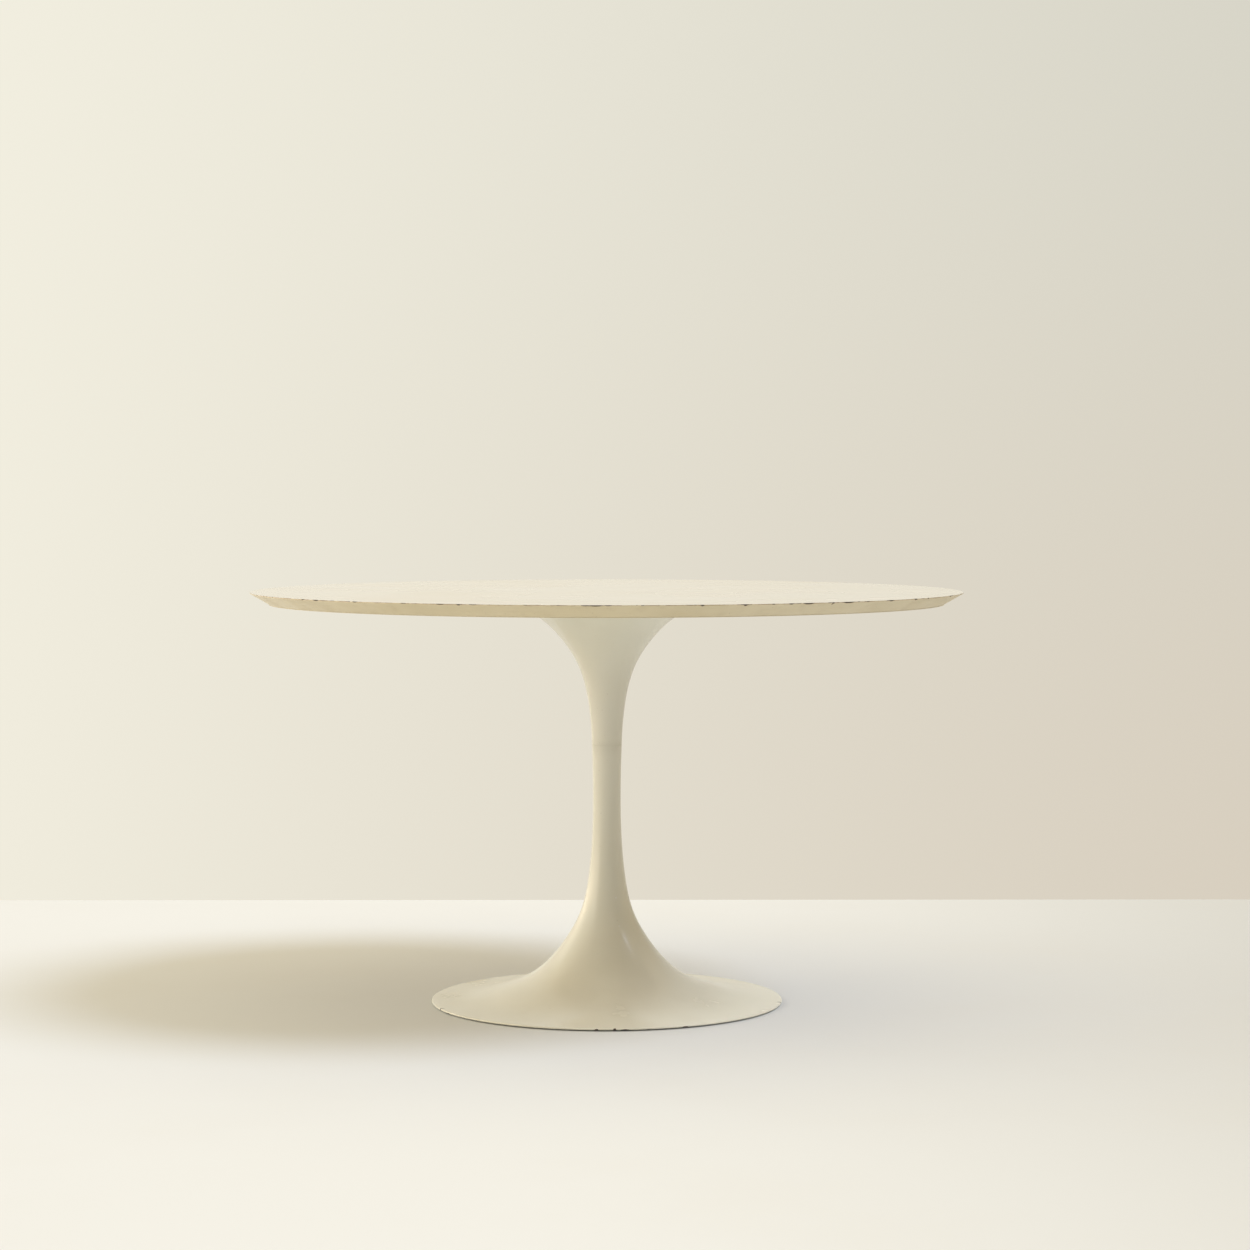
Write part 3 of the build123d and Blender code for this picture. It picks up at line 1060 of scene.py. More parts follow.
@dataclass
class TableTop(Assembly):
    """White laminate on a board with a painted bevel, and a brown sheet under it."""

    columns: int = 1920
    backing_columns: int = 480
    edge_land: float = 0.6 * MM
    rim_round: float = 0.25 * MM
    lower_round: float = 0.9 * MM
    soft: float = 0.35 * MM

    def __post_init__(self) -> None:
        """Read the top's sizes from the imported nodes."""
        low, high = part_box("top_laminate")
        self.top_z, self.joint_z, self.radius = high.z, low.z, high.x
        low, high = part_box("backing_sheet")
        self.board_z, self.under_z, self.inner_radius = high.z, low.z, high.x
        self.wear = Wear(
            radius=self.radius,
            placed=(
                Knock(-53, 7, 3.0),
                Knock(-49.5, 15, 3.5),
                Knock(-40.5, 10, 3.0),
                Knock(-25, 14, 3.0),
                Knock(-22, 4, 4.3, 0.9),
                Knock(-3.0, 14, 3.2),
                Knock(-1.6, 20, 3.8),
                Knock(0.2, 10, 3.1),
                Knock(13.9, 5, 4.6, 0.9),
                Knock(20.5, 6, 5.7, 0.9),
                Knock(25, 5, 3.2),
                Knock(28, 7, 3.5),
                Knock(31, 20, 4.3),
                Knock(35.5, 3, 8.1, 0.9),
                Knock(38.5, 24, 4.1),
                Knock(42.5, 6, 3.0),
                Knock(48, 13, 3.8),
                Knock(54.7, 7, 4.9, 1.0),
                Knock(58.7, 5, 3.2),
                Knock(68.3, 7, 3.2),
            ),
            scattered=90,
            length_spread=14 * MM,
            reach_spread=1.5 * MM,
            seed=7,
        )

    def knocked(
        self, way: np.ndarray, radius: np.ndarray, height: np.ndarray, down: np.ndarray
    ) -> Skin:
        """Turn a section that has the rim's knocks sunk into it.

        A point that lies a way w from the rim is knocked by clip((reach - w) / soft + 1/2, 0, 1),
        and moves towards the axis by that share of the knock's depth.

        Args:
            way: Way of each row from the rim's top edge, along the surface.
            radius: Radii of the rows.
            height: Heights of the rows.
            down: Share of the depth by which each row is also lowered.

        Returns:
            The skin, with its chip value.
        """
        reach, depth = self.wear.reach(angles(self.columns))
        chip = np.clip((reach[None, :] - way[:, None]) / self.soft + 0.5, 0, 1)
        sunk = chip * depth[None, :]
        sunk_height = height[:, None] - down[:, None] * sunk
        skin = lathe(radius[:, None] - sunk, sunk_height, self.columns, capped=True)
        return skin.keep("chip", np.append(chip, [0.0, 0.0]))

    def laminate(self) -> Skin:
        """The white sheet: flat, with a rim rounded by a quarter of a millimetre.

        A knock reaches a third as far over the flat as down the rim, and lowers the flat by
        0.4 of its depth.
        """
        less_far, lowered = 3.0, 0.4
        far = self.radius - self.rim_round
        inner = (0.2, 0.4, 0.52, 0.58, 0.596)
        radius, height = rows_of(
            [(r, self.joint_z) for r in (*inner, far)],
            [(self.radius, self.joint_z), (self.radius, (self.joint_z + self.top_z) / 2)],
            arc((far, self.top_z - self.rim_round), self.rim_round, 0, 90, 4),
            [(r, self.top_z) for r in (far - 0.4 * MM, far - 0.9 * MM, far - 1.8 * MM, *inner[::-1])],
        )
        below = np.clip(self.top_z - height, 0, None)
        within = np.clip(far - radius, 0, None)
        down = lowered * (below < self.rim_round)
        skin = self.knocked(below + within * less_far, radius, height, down)
        core = (radius > far - 0.01 * MM) & (height < self.top_z - 0.9 * self.rim_round)
        edge = np.repeat(core.astype(float), self.columns)
        return skin.keep("edge", np.append(edge, [0.0, 0.0]))

    def board(self) -> Skin:
        """The board: flat above and below, with the painted bevel between."""
        start = np.array([self.inner_radius, self.board_z])
        end = np.array([self.radius, self.joint_z - self.edge_land])
        slant = (end - start) / np.linalg.norm(end - start)
        length = float(np.linalg.norm(end - start))
        plain = np.linspace(self.lower_round, length - 9 * MM, 8)
        knocked = length - np.arange(7.0, 0, -0.5) * MM
        steps = np.concatenate([plain, knocked])
        foot = start + np.array([-self.lower_round, 0.0])
        turn_in = [foot, start + 0.12 * self.lower_round * np.array([-1, 0.2])]
        radius, height = rows_of(
            [(r, self.board_z) for r in (0.25, 0.45, 0.56, self.inner_radius - 3 * MM)],
            turn_in,
            start + steps[:, None] * slant,
            [end, (self.radius, self.joint_z), (0.6, self.joint_z), (0.3, self.joint_z)],
        )
        below = np.clip(self.top_z - height, 0, None) / slant[1]
        skin = self.knocked(below, radius, height, np.zeros_like(height))
        below_flat = radius < self.inner_radius - 2 * MM
        above_flat = (height > self.joint_z - 0.01 * MM) & (radius < self.radius - 1 * MM)
        raw = np.repeat((below_flat | above_flat).astype(float), self.columns)
        return skin.keep("raw", np.append(raw, [1.0, 1.0]))

    def backing(self) -> Skin:
        """The brown sheet, its lower edge eased with sandpaper."""
        ease = 0.3 * MM
        radius, height = rows_of(
            [(r, self.under_z) for r in (0.15, 0.3, 0.45, 0.55, self.inner_radius - 2 * MM)],
            arc((self.inner_radius - ease, self.under_z + ease), ease, -90, 0, 4),
            [(self.inner_radius, self.board_z), (0.45, self.board_z), (0.2, self.board_z)],
        )
        skin = lathe(radius, height, self.backing_columns, capped=True)
        from_axis = np.hypot(skin.points[:, 0], skin.points[:, 1])
        return skin.keep("edge", from_axis > self.inner_radius - 0.7 * ease)

    def build(self) -> None:
        """Build laminate, board and backing."""
        self.dress(self.laminate(), "top_laminate", Slot.LAMINATE, self.finishes.laminate)
        self.dress(self.board(), "top_board", Slot.BOARD, self.finishes.edge)
        self.dress(self.backing(), "backing_sheet", Slot.BACKING, self.finishes.kraft)


@dataclass
class Pedestal(Assembly):
    """Neck and foot castings: two hollow trumpets that meet at a spigot in the stem.

    The wall, bore, rim's land and spigot are in millimetres, as the outlines' knots are.
    """

    wall: float = 4.5
    bore: float = 15.0
    rim_land: float = 29.0
    spigot: float = 20.5
    bead: float = 1.6 * MM
    foot_columns: int = 448
    neck_columns: int = 320
    seam_break: float = 0.5 * MM
    web_height: float = 112 * MM
    web_thick: float = 8 * MM
    web_hole: float = 6.75 * MM
    band_height: float = 442 * MM
    band_half: float = 9 * MM
    seam_slope: Pair = (0.033, 1.0)

    def __post_init__(self) -> None:
        """Read the pedestal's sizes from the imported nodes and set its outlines."""
        low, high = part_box("foot_casting")
        self.foot_radius, self.rim_z, self.spigot_z = high.x, low.z, high.z
        low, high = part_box("neck_casting")
        self.seam_z, self.mouth_z, self.mouth_radius = low.z, high.z, high.x
        foot, mouth = self.foot_radius / MM, self.mouth_radius / MM
        seam, under = self.seam_z / MM, self.mouth_z / MM
        bead = self.bead / MM
        self.foot_outline = Outline(
            knots=(
                (foot - bead, self.rim_z / MM + 2 * bead),
                (262, 7.4),
                (220, 13.8),
                (180, 25.6),
                (140, 42.2),
                (105, 68.2),
                (70, 111),
                (45.8, 156),
                (31.7, 217),
                (23.8, 353),
                (25.7, seam),
            ),
            start=(-1, 0.03),
            end=self.seam_slope,
        )
        self.neck_outline = Outline(
            knots=(
                (25.7, seam),
                (28.3, 489),
                (34.6, 534),
                (48.5, 580),
                (76.2, 625),
                (105, 655),
                (mouth, under),
            ),
            start=self.seam_slope,
            end=(1.42, 1),
        )
        self.wear = Wear(
            radius=self.foot_radius,
            placed=(
                Knock(-69, 5, 3.2),
                Knock(-3, 4, 2.4),
                Knock(2.5, 5, 2.8),
                Knock(81, 5, 3.4),
            ),
            scattered=34,
            length_spread=7 * MM,
            reach_spread=1.6 * MM,
            seed=23,
        )

    def band(self, height: np.ndarray) -> np.ndarray:
        """Darkening over the joint: a bell curve of the height, half gone at band_half."""
        return np.exp(-math.log(2) * ((height - self.band_height) / self.band_half) ** 2)

    def neck(self) -> Skin:
        """The upper trumpet: outside up, mouth, inside down and the socket."""
        outside = self.neck_outline.points(110)
        outside[0] += (-self.seam_break, 0)
        ease = outside[0] + np.array([self.seam_break, self.seam_break])
        inner_knots = (
            (self.bore + 2, self.spigot_z / MM + 10.5),
            *self.neck_outline.inset(self.wall, (0.45, 0.6, 0.75, 0.88)),
            (self.mouth_radius / MM - 1.75 * self.wall, self.mouth_z / MM),
        )
        inside = Outline(inner_knots, (0.05, 1), (1.4, 1)).points(70)[::-1]
        socket = (self.spigot + 0.05) * MM
        narrow = (self.bore + 2) * MM
        ceiling = self.spigot_z + 0.5 * MM
        bored = [(narrow, ceiling), (socket, ceiling), (socket, self.seam_z)]
        radius, height = rows_of(outside[:1], [ease], outside[1:], inside, bored)
        skin = lathe(radius, height, self.neck_columns)
        return self.painted(skin, 2 + len(outside), self.neck_columns)

    def painted(self, skin: Skin, rows: int, columns: int) -> Skin:
        """Keep which rows are raw casting, and how dark the band over the joint is.

        Args:
            skin: The casting's skin.
            rows: How many of its first rows are painted.
            columns: How many points there are in each row.

        Returns:
            The same skin.
        """
        skin.keep("raw", np.arange(len(skin.points)) >= rows * columns)
        return skin.keep("band", self.band(skin.points[:, 2]) * (1 - skin.values["raw"]))

    def foot_inside(self) -> np.ndarray:
        """The inside of the lower trumpet, from the rim's land up to the bore."""
        knots = (
            (self.foot_radius / MM - self.rim_land, self.rim_z / MM),
            *self.foot_outline.inset(self.wall, (0.14, 0.24, 0.34, 0.44, 0.54)),
            (self.bore, 308),
        )
        return Outline(knots, (-1, 0.12), (0, 1)).points(64)

    def foot_shell(self) -> Skin:
        """The lower trumpet: land, bead, outside up, spigot, bore and inside down."""
        outside = self.foot_outline.points(118, crowding=0.85)
        bead_centre = (self.foot_radius - self.bead, self.rim_z + self.bead)
        bead = arc(bead_centre, self.bead, -90, 75, 9)
        seam_ease = outside[-1] + np.array([0, -self.seam_break])
        inside = self.foot_inside()[::-1]
        spigot = self.spigot * MM
        radius, height = rows_of(
            [(bead_centre[0] - 2 * MM, self.rim_z)],
            bead,
            outside[:-1],
            [seam_ease, (outside[-1, 0] - self.seam_break, self.seam_z)],
            [(spigot, self.seam_z), (spigot, self.spigot_z), (self.bore * MM, self.spigot_z)],
            inside,
        )
        reach, depth = self.wear.reach(angles(self.foot_columns))
        row = np.arange(len(radius))
        on_rim = (row > 0) & (row < len(bead) + 7)
        chip_middle, soft, sunk = 0.4 * MM, 0.6 * MM, 0.6
        under = np.clip(bead_centre[0] - radius, 0, None)
        way = np.abs(height - self.rim_z - chip_middle) + under
        chip = np.clip((reach[None, :] - way[:, None]) / soft + 0.5, 0, 1) * on_rim[:, None]
        skin = lathe(radius[:, None] - sunk * chip * depth[None, :], height, self.foot_columns)
        skin.keep("chip", chip.ravel())
        return self.painted(skin, 2 + len(bead) + len(outside), self.foot_columns)

    def web(self) -> Skin:
        """The cast web across the stem that the tie rod pulls on, filleted into the wall."""
        low, high = self.web_height, self.web_height + self.web_thick
        ease, fillet, rooted = 1.2 * MM, 8 * MM, 1.5 * MM
        wall = self.foot_inside()
        low_side, high_side = np.interp((low - fillet, high), wall[:, 1], wall[:, 0]) + rooted
        radius, height = rows_of(
            arc((self.web_hole + ease, low + ease), ease, 180, 270, 4),
            arc((low_side - fillet, low - fillet), fillet, 90, 0, 8),
            [(high_side, high)],
            arc((self.web_hole + ease, high - ease), ease, 90, 180, 4),
        )
        return lathe(radius, height, 96).keep("raw", 1.0)

    def boss(self, x: float, y: float) -> Skin:
        """One round boss in the foot's hollow, bored for a glide's stud.

        Args:
            x: Where its middle lies.
            y: Where its middle lies.

        Returns:
            The boss.
        """
        face, top, bore_top = 5.8 * MM, 14.5 * MM, 16.4 * MM
        outer, bore, ease = 12 * MM, 4.05 * MM, 0.8 * MM
        radius, height = rows_of(
            [(bore * 0.5, bore_top), (bore, bore_top), (bore, face + ease), (bore + ease, face)],
            arc((outer - ease, face + ease), ease, -90, 0, 4),
            [(outer + 1.5 * MM, top), (outer - 4 * MM, top), (outer * 0.5, bore_top + 0.1 * MM)],
        )
        return lathe(radius, height, 40, capped=True).moved(x, y).keep("raw", 1.0)

    def build(self) -> None:
        """Build neck and foot."""
        self.dress(self.neck(), "neck_casting", Slot.ENAMEL, self.finishes.enamel)
        bosses = [self.boss(*middle_of(f"glide_stud_{n}")) for n in (1, 2, 3, 4)]
        foot = joined([self.foot_shell(), self.web(), *bosses])
        self.dress(foot, "foot_casting", Slot.ENAMEL, self.finishes.enamel)


@dataclass
class Spider(Assembly):
    """The four-armed spider under the top, with the wood screws that hold it."""

    arms: int = 4
    arm_half: float = 18 * MM
    plate_radius: float = 35 * MM
    hub_radius: float = 22 * MM
    bore: float = 6.05 * MM
    pitch: float = 1.75 * MM
    plan_columns: int = 720
    hub_columns: int = 96
    screw_circles: tuple[float, ...] = (62 * MM, 108 * MM)
    screw_length: float = 20 * MM
    head_radius: float = 4.6 * MM
    head_flare: float = math.tan(math.radians(41))
    shank: float = 2.3 * MM

    def __post_init__(self) -> None:
        """Read the spider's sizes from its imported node."""
        low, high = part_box("top_spider")
        self.top_z, self.hub_z, self.reach = high.z, low.z, high.x
        self.plate_z = self.top_z - 6 * MM

    def plan(self, turn: np.ndarray) -> np.ndarray:
        """Radius of the spider's plan at each angle.

        Near an arm's middle line it is the arm's round end, a cos b + sqrt(w^2 - a^2 sin^2 b),
        beyond it the arm's side, w / |sin b|, and never less than the round plate, where b is
        the angle from the arm, w half its width and a the reach to its end circle's centre.

        Args:
            turn: Angles in radians.

        Returns:
            The radius at each of them.
        """
        quarter = TURN / self.arms
        b = (turn + quarter / 2) % quarter - quarter / 2
        a = self.reach - self.arm_half
        under_root = np.clip(self.arm_half**2 - (a * np.sin(b)) ** 2, 0, None)
        end = a * np.cos(b) + np.sqrt(under_root)
        side = self.arm_half / np.maximum(np.abs(np.sin(b)), 1e-6)
        arm = np.where(np.abs(np.tan(b)) < self.arm_half / a, end, side)
        soft = 3 * MM
        return soft * np.logaddexp(np.minimum(arm, self.reach) / soft, self.plate_radius / soft)

    def plate(self) -> Skin:
        """The four-armed plate, its lower and upper edges eased."""
        turn = angles(self.plan_columns)
        plan = np.minimum(self.plan(turn), self.reach)[None, :]
        ease = 1.5 * MM
        share = np.array([0.3, 0.6, 0.85, 1, 1, 1, 1, 1, 1, 0.85, 0.5])[:, None]
        inset = np.array([0, 0, 0, ease, 0.3 * ease, 0, 0, 0.1 * ease, 0.4 * ease, 0, 0])[:, None]
        low, high = self.plate_z, self.top_z
        height = np.array(
            [low, low, low, low, low + 0.3 * ease, low + ease]
            + [high - 0.4 * ease, high - 0.1 * ease, high, high, high]
        )
        return lathe(share * plan - inset, height, self.plan_columns, capped=True)

    def hub(self) -> Skin:
        """The threaded hub, with a cast fillet where it meets the plate."""
        ease, blend = 2 * MM, 7 * MM
        corner = (self.hub_radius + blend, self.plate_z - blend)
        fillet = arc(corner, blend, 180, 90, 8)
        bore_top = self.top_z - 4 * MM
        rows = np.arange(bore_top, self.hub_z + 1 * MM, -self.pitch / 8)
        turn = angles(self.hub_columns)[None, :]
        outside_r, outside_z = rows_of(
            [(self.bore + 1 * MM, self.hub_z)],
            arc((self.hub_radius - ease, self.hub_z + ease), ease, -90, 0, 5),
            fillet,
            [(self.hub_radius + blend, self.plate_z + 1 * MM)],
            [(self.hub_radius, self.top_z - 1 * MM), (self.bore * 1.5, self.top_z - 1 * MM)],
        )
        cut = thread_cut(turn, rows[:, None], self.pitch, 0.9 * MM)
        radius = np.concatenate([outside_r[:, None] + 0 * turn, self.bore + cut])
        return lathe(radius, np.concatenate([outside_z, rows]), self.hub_columns)

    def screw(self, x: float, y: float) -> Skin:
        """One countersunk wood screw with a cross recess and a coarse thread.

        The recess lowers the head by depth x clip of how far a point lies inside either arm
        of the cross, and fades out at the recess's radius.

        Args:
            x: Where the screw's middle lies.
            y: Where the screw's middle lies.

        Returns:
            The screw, its head level with the plate's lower face.
        """
        columns, pitch, thread_depth = 48, 1.9 * MM, 0.75 * MM
        arm_half, arm_wall, recess_depth = 0.62 * MM, 0.25 * MM, 1.7 * MM
        recess_radius, recess_fade = 2.7 * MM, 0.9 * MM
        rim, point_length, point_radius = 0.12 * MM, 5 * MM, 0.05 * MM
        turn = angles(columns)[None, :]
        face = np.linspace(0.25 * MM, self.head_radius - 0.15 * MM, 16)[:, None]
        across = np.minimum(np.abs(np.sin(turn)), np.abs(np.cos(turn))) * face
        in_arm = np.clip((arm_half - across) / arm_wall, 0, 1)
        face_z = recess_depth * in_arm * np.clip((recess_radius - face) / recess_fade, 0, 1)
        head_depth = (self.head_radius - self.shank) / self.head_flare
        side_z = np.array([rim, 0.4 * MM, head_depth * 0.6, head_depth])[:, None]
        side_r = self.head_radius - (side_z - rim) * self.head_flare
        body_z = np.arange(head_depth + 0.6 * MM, self.screw_length, pitch / 7)[:, None]
        taper = np.clip((self.screw_length - body_z) / point_length, 0.03, 1)
        cut = thread_cut(turn, body_z, pitch, thread_depth)
        body_r = np.clip((self.shank - cut) * taper, point_radius, None)
        wide = np.ones((1, columns))
        radius = np.concatenate([face * wide, side_r * wide, body_r])
        height = np.concatenate([face_z, side_z * wide, body_z * wide])
        return lathe(radius, height, columns, capped=True).moved(x, y, self.plate_z)

    def build(self) -> None:
        """Build the spider and its screws."""
        spider = joined([self.plate(), self.hub()])
        self.dress(spider, "top_spider", Slot.BLACK, self.finishes.primer)
        turns = angles(self.arms)
        spots = [(c * math.sin(t), -c * math.cos(t)) for c in self.screw_circles for t in turns]
        screws = joined([self.screw(x, y) for x, y in spots])
        self.dress(screws, "spider_screws", Slot.ZINC, self.finishes.zinc)


@dataclass
class TieRod(Assembly):
    """The long rod with threaded ends, its two nuts and its washers."""

    pitch: float = 1.75 * MM
    cut: float = 0.95 * MM
    flats: float = 19 * MM
    clearance: float = 0.05 * MM
    threaded: float = 70 * MM
    washer_bore: float = 6.75 * MM
    lock_radius: float = 10.5 * MM

    def __post_init__(self) -> None:
        """Read the rod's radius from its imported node."""
        self.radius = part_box("tie_rod")[1].x

    def rod(self) -> Skin:
        """The rod: a plain shank between two threaded ends, each with a chamfered tip."""
        low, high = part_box("tie_rod")
        columns, chamfer, tip_row, run_out = 40, 1 * MM, 0.1 * MM, 4 * MM
        turn = angles(columns)[None, :]
        step = self.pitch / 8
        lower = np.arange(low.z + tip_row, low.z + self.threaded, step)
        upper = np.arange(high.z - self.threaded, high.z - tip_row, step)
        plain = np.linspace(lower[-1] + step, upper[0] - step, 12)
        z = np.concatenate([[low.z], lower, plain, upper, [high.z]])[:, None]
        from_end = np.minimum(z - low.z, high.z - z)
        on_thread = np.clip((self.threaded - from_end) / run_out, 0, 1)
        radius = self.radius - on_thread * thread_cut(turn, z, self.pitch, self.cut)
        tip = self.radius - chamfer + from_end
        return lathe(np.minimum(radius, tip), z + 0 * turn, columns, capped=True)

    def nut(self, node: str) -> Skin:
        """A hexagon nut, corners turned off at 30 degrees on both faces.

        At each angle the chamfer drops by (hexagon radius - face radius) x tan 30.

        Args:
            node: The CAD node that gives the nut's two faces.

        Returns:
            The nut.
        """
        low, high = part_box(node)
        columns, ease = 144, 0.5 * MM
        outer = hexagon_radius(angles(columns)[None, :], self.flats)
        face = np.full_like(outer, self.flats / 2 - 0.15 * MM)
        bore = np.full_like(outer, self.radius + self.clearance)
        drop = (outer - face) * math.tan(math.radians(30))
        flat = np.zeros_like(outer)
        fall = np.concatenate([flat + ease, flat, flat, drop])
        half = np.concatenate([bore, bore + ease, face, outer])
        radius = np.concatenate([half, half[::-1]])
        return lathe(radius, np.concatenate([low.z + fall, high.z - fall[::-1]]), columns)

    def washer(self, node: str, bore: float) -> Skin:
        """A plain washer with its stamped edge rounded over on one side.

        Args:
            node: The CAD node that gives the washer's faces and width.
            bore: The radius of its hole.

        Returns:
            The washer.
        """
        low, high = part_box(node)
        outer, ease, burr, lead = high.x, 0.6 * MM, 0.1 * MM, 0.2 * MM
        radius, height = rows_of(
            [(bore, low.z)],
            arc((outer - ease, low.z + ease), ease, -90, 0, 5),
            [(outer, high.z - burr), (outer - burr, high.z)],
            [(bore + lead, high.z), (bore, high.z - lead)],
        )
        return lathe(radius, height, 96)

    def lock_washer(self, node: str) -> Skin:
        """A split ring, square in section, with its two cut ends a little apart.

        Args:
            node: The CAD node that gives the ring's two faces.

        Returns:
            The ring.
        """
        low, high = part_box(node)
        outer, inner, ease = self.lock_radius, self.radius + self.clearance, 0.25 * MM
        gap = 2.0 * MM / outer
        section_r, section_z = rows_of(
            [(inner, low.z), (outer - ease, low.z), (outer, low.z + ease)],
            [(outer, high.z - ease), (outer - ease, high.z), (inner, high.z)],
        )
        r, z = section_r[:, None], section_z[:, None]
        turn = np.linspace(gap / 2, TURN - gap / 2, 72) + TURN / 4
        grid = np.stack([r * np.sin(turn), -r * np.cos(turn), z + 0 * turn], -1)
        skin = grid_skin(grid, closed_rows=True, closed_columns=False)
        ring = np.arange(len(r)) * len(turn)
        skin = cap(skin, ring, grid[:, 0].mean(axis=0), forwards=True)
        return cap(skin, ring + len(turn) - 1, grid[:, -1].mean(axis=0), forwards=False)

    def build(self) -> None:
        """Build rod, nuts and washers."""
        made = {
            "tie_rod": self.rod(),
            "hub_lock_nut": self.nut("hub_lock_nut"),
            "hub_lock_washer": self.lock_washer("hub_lock_washer"),
            "foot_washer": self.washer("foot_washer", self.washer_bore),
            "foot_lock_washer": self.lock_washer("foot_lock_washer"),
            "foot_nut": self.nut("foot_nut"),
        }
        for node, skin in made.items():
            self.dress(skin, node, Slot.ZINC, self.finishes.zinc)


@dataclass
class Glide(Assembly):
    """One levelling glide: a nylon pad moulded round the flange of a threaded stud."""

    number: int
    pitch: float = 1.25 * MM
    cut: float = 0.7 * MM
    stem: float = 4 * MM
    flange_radius: float = 9 * MM
    flange_thick: float = 1.6 * MM

    def pad(self) -> Skin:
        """The pad: rounded rims, a dished sole and a recess round the stud's flange."""
        low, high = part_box(f"glide_pad_{self.number}")
        outer, ease, lead, dish = (high.x - low.x) / 2, 1 * MM, 0.3 * MM, 0.3 * MM
        floor_z = high.z - self.flange_thick
        recess = self.flange_radius + 0.05 * MM
        radius, height = rows_of(
            [(3 * MM, low.z + dish + 0.05 * MM), (7 * MM, low.z + dish), (8 * MM, low.z)],
            arc((outer - ease, low.z + ease), ease, -90, 0, 6),
            arc((outer - ease, high.z - ease), ease, 0, 90, 6),
            [(recess + lead, high.z), (recess, high.z - lead)],
            [(recess, floor_z), (self.stem, floor_z)],
        )
        middle = middle_of(f"glide_pad_{self.number}")
        return lathe(radius, height, 96, capped=True).moved(*middle)

    def stud(self) -> Skin:
        """The stud: a flat flange and an M8 thread with a chamfered tip."""
        low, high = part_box(f"glide_stud_{self.number}")
        columns, ease, neck = 56, 0.2 * MM, 0.3 * MM
        tip = self.stem - 0.8 * MM
        turn = angles(columns)[None, :]
        flange_top = low.z + self.flange_thick
        rows = np.arange(flange_top + neck, high.z, self.pitch / 8)[:, None]
        flange_r, flange_z = rows_of(
            [(3 * MM, low.z)],
            arc((self.flange_radius - ease, low.z + ease), ease, -90, 0, 3),
            arc((self.flange_radius - ease, flange_top - ease), ease, 0, 90, 3),
            [(self.stem - neck, flange_top)],
        )
        thread = self.stem - thread_cut(turn, rows, self.pitch, self.cut)
        thread = np.minimum(thread, tip + high.z - rows)
        wide = np.ones((1, columns))
        radius = np.concatenate([flange_r[:, None] * wide, thread, tip * wide])
        height = np.concatenate([flange_z[:, None] * wide, rows * wide, high.z * wide])
        middle = middle_of(f"glide_stud_{self.number}")
        return lathe(radius, height, columns, capped=True).moved(*middle)

    def build(self) -> None:
        """Build pad and stud."""
        body, n = f"glide_{self.number}", self.number
        self.dress(self.pad(), f"glide_pad_{n}", Slot.NYLON, self.finishes.nylon, body)
        self.dress(self.stud(), f"glide_stud_{n}", Slot.ZINC, self.finishes.zinc, body)


# ---------------------------------------------------------------------------
# The studio
# ---------------------------------------------------------------------------


@dataclass(frozen=True)
class Zone:
    """A part of the room that is brighter than the rest, by direction from the table.

    Azimuths are in degrees from the front (-Y) towards the right (+X), and heights are the
    sine of the elevation. Each pair says where the zone begins and where it is at its full.
    """

    name: str
    extra: Colour
    azimuth_in: Pair | None = None
    azimuth_out: Pair | None = None
    height_in: Pair = (0.75, 0.55)


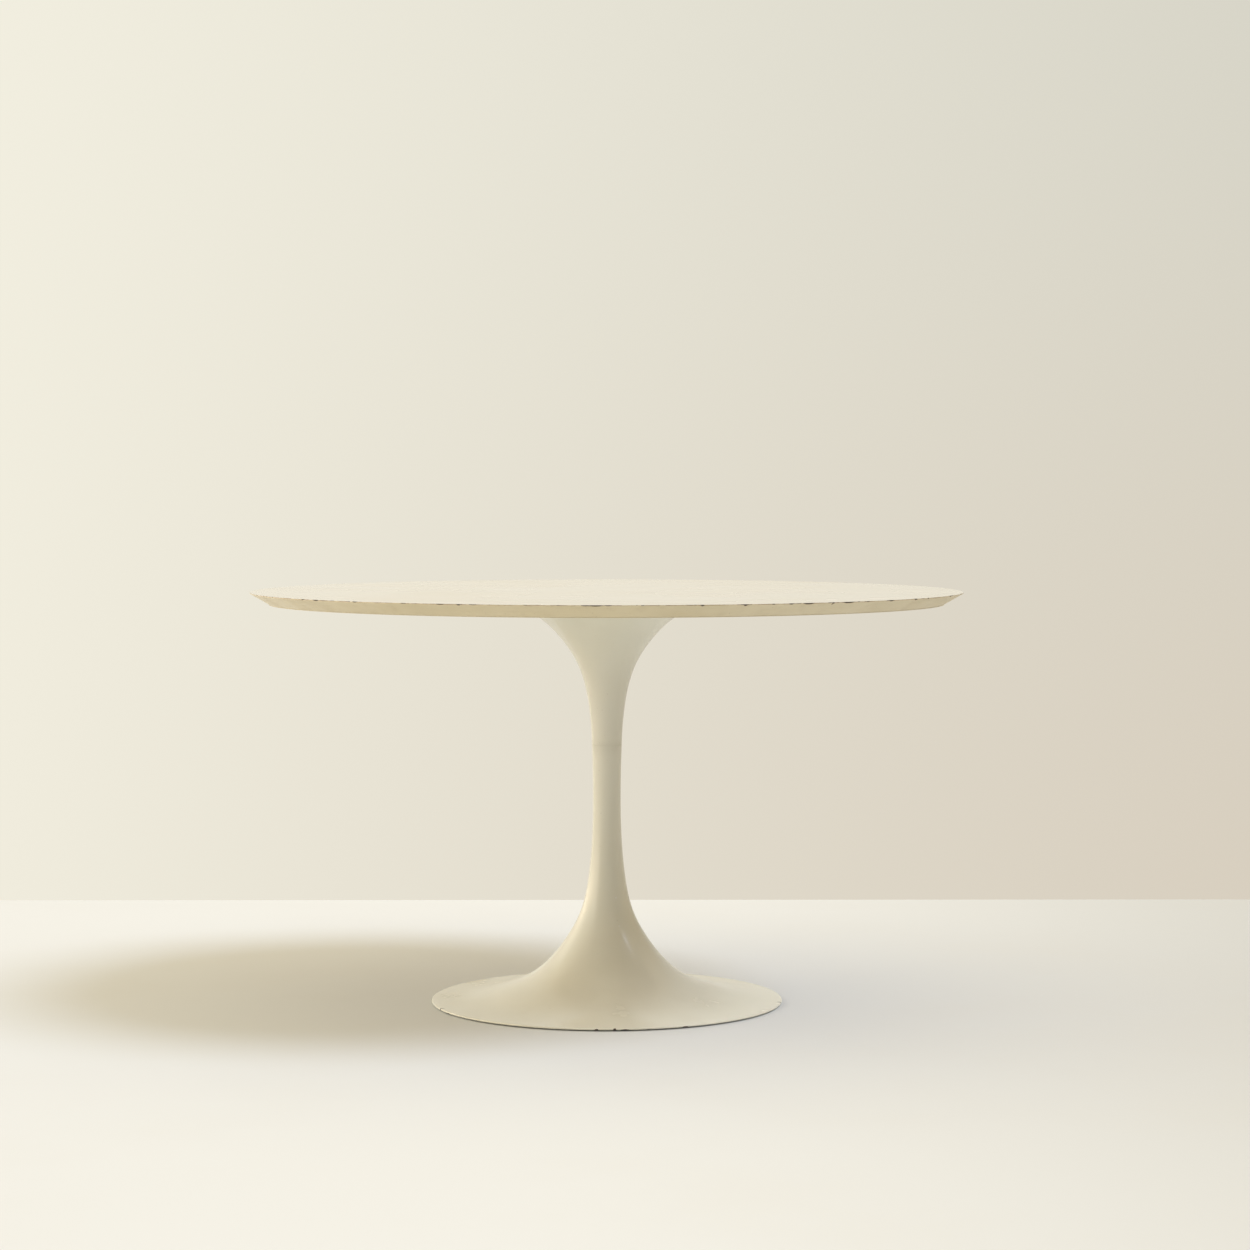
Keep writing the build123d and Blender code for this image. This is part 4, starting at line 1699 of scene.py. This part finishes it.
@dataclass
class Studio:
    """A plain pale floor, an even room light, one soft key light and the camera."""

    floor_reach: float = 30.0
    key_from: tuple[float, float, float] = (0.455, -0.145, 0.71)
    key_angle: float = 23.0
    key_energy: float = 1.43
    key_colour: Colour = (0.711, 0.805, 1.0)
    room: Colour = (0.27, 0.24, 0.19)
    zones: tuple[Zone, ...] = (
        Zone("left wall", (0.80, 0.83, 0.68), (-52, -56), (-155, -135)),
        Zone("left wall, lower half", (0.90, 0.84, 0.80), (-52, -56), (-155, -135), (0.60, 0.40)),
        Zone("low window", (1.30, 0.88, 0.54), (-52, -56), (-155, -135), (0.35, 0.20)),
        Zone("right wall", (0.30, 0.23, 0.12), (55, 75), (155, 135)),
        Zone("ceiling", (0.78, 0.66, 0.44), height_in=(0.55, 0.75)),
    )
    back_wall: Zone = Zone("back wall", (0.0, 0.0, 0.0), azimuth_in=(135, 155))
    camera_distance: float = 5.393
    camera_height: float = 0.9046
    camera_pitch: float = 2.690
    camera_yaw: float = -0.332
    lens: float = 90.35

    def floor(self) -> None:
        """The floor: one level square."""
        ends = np.array([-self.floor_reach, self.floor_reach])
        grid = np.stack([*np.meshgrid(ends, ends), np.zeros((2, 2))], -1)
        skin = grid_skin(grid, closed_rows=False, closed_columns=False)
        floor = make_object(skin, "studio_floor")
        floor.data.materials.append(StudioFloor().material())

    def room_light(self) -> None:
        """Light of the room by direction, and the plain backdrop that the camera sees.

        The light is the room's own colour plus the extra of each zone times the zone's share
        in that direction. The backdrop is a painted lit tone on the left and a painted shaded tone on
        the right.
        """
        world = bpy.data.worlds.new("room")
        bpy.context.scene.world = world
        world.use_nodes = True
        b = Bench(world.node_tree, "Generated")
        parts = b.node("ShaderNodeSeparateXYZ")
        b.feed(parts.inputs[0], b.place)
        x, y, z = parts.outputs
        turned = b.sum("ARCTAN2", x, b.times(y, -1.0))
        azimuth = b.times(turned, 360 / TURN)
        light = b.node("ShaderNodeRGB").outputs[0]
        light.default_value = (*self.room, 1.0)
        for zone in self.zones:
            share = b.ramp(z, *zone.height_in)
            for pair in (zone.azimuth_in, zone.azimuth_out):
                if pair is not None:
                    share = b.times(share, b.ramp(azimuth, *pair))
            light = b.mix(share, light, zone.extra, Blend.ADDED)
        backdrop = Backdrop().tone(b, x, z)
        behind = b.ramp(b.sum("ABSOLUTE", azimuth), *self.back_wall.azimuth_in)
        behind = b.times(behind, b.ramp(z, *self.back_wall.height_in))
        light = b.mix(behind, light, backdrop)
        seen = b.node("ShaderNodeLightPath").outputs["Is Camera Ray"]
        b.feed(b.tree.nodes["Background"].inputs["Color"], b.mix(seen, light, backdrop))

    def key_light(self) -> None:
        """A broad soft key from high on the right, a little in front."""
        lamp = bpy.data.lights.new("key", "SUN")
        lamp.energy = self.key_energy
        lamp.angle = math.radians(self.key_angle)
        lamp.color = self.key_colour
        key = bpy.data.objects.new("key", lamp)
        x, y, z = self.key_from
        key.rotation_euler = (math.atan2(math.hypot(x, y), z), 0, math.atan2(x, -y))
        key.location = (3 * x, 3 * y, 3 * z)
        bpy.context.scene.collection.objects.link(key)

    def camera(self) -> None:
        """The camera in front of the table, looking slightly down."""
        lens = bpy.data.cameras.new("camera")
        lens.lens = self.lens
        lens.sensor_width = 36.0
        lens.clip_start, lens.clip_end = 0.1, 100.0
        camera = bpy.data.objects.new("camera", lens)
        camera.location = (0, -self.camera_distance, self.camera_height)
        pitch, yaw = math.radians(90 - self.camera_pitch), math.radians(self.camera_yaw)
        camera.rotation_euler = (pitch, 0, yaw)
        bpy.context.scene.collection.objects.link(camera)
        bpy.context.scene.camera = camera

    def build(self) -> None:
        """Set up floor, lights, camera and plain colour handling."""
        self.floor()
        self.room_light()
        self.key_light()
        self.camera()
        view = bpy.context.scene.view_settings
        view.view_transform = "Standard"
        view.look = "None"
        LOG.info("studio: floor, room light, key light and camera")


def main() -> None:
    """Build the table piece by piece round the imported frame, then the studio."""
    logging.basicConfig(level=logging.INFO, format="%(name)s: %(message)s")
    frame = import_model()
    finishes = Finishes.mixed()
    glides = sum(1 for name in frame["bodies"] if name.startswith("glide_"))
    assemblies: list[Assembly] = [kind(finishes) for kind in (TableTop, Pedestal, Spider, TieRod)]
    assemblies += [Glide(finishes, number) for number in range(1, glides + 1)]
    for assembly in assemblies:
        assembly.build()
    Studio().build()


if __name__ == "__main__":
    main()
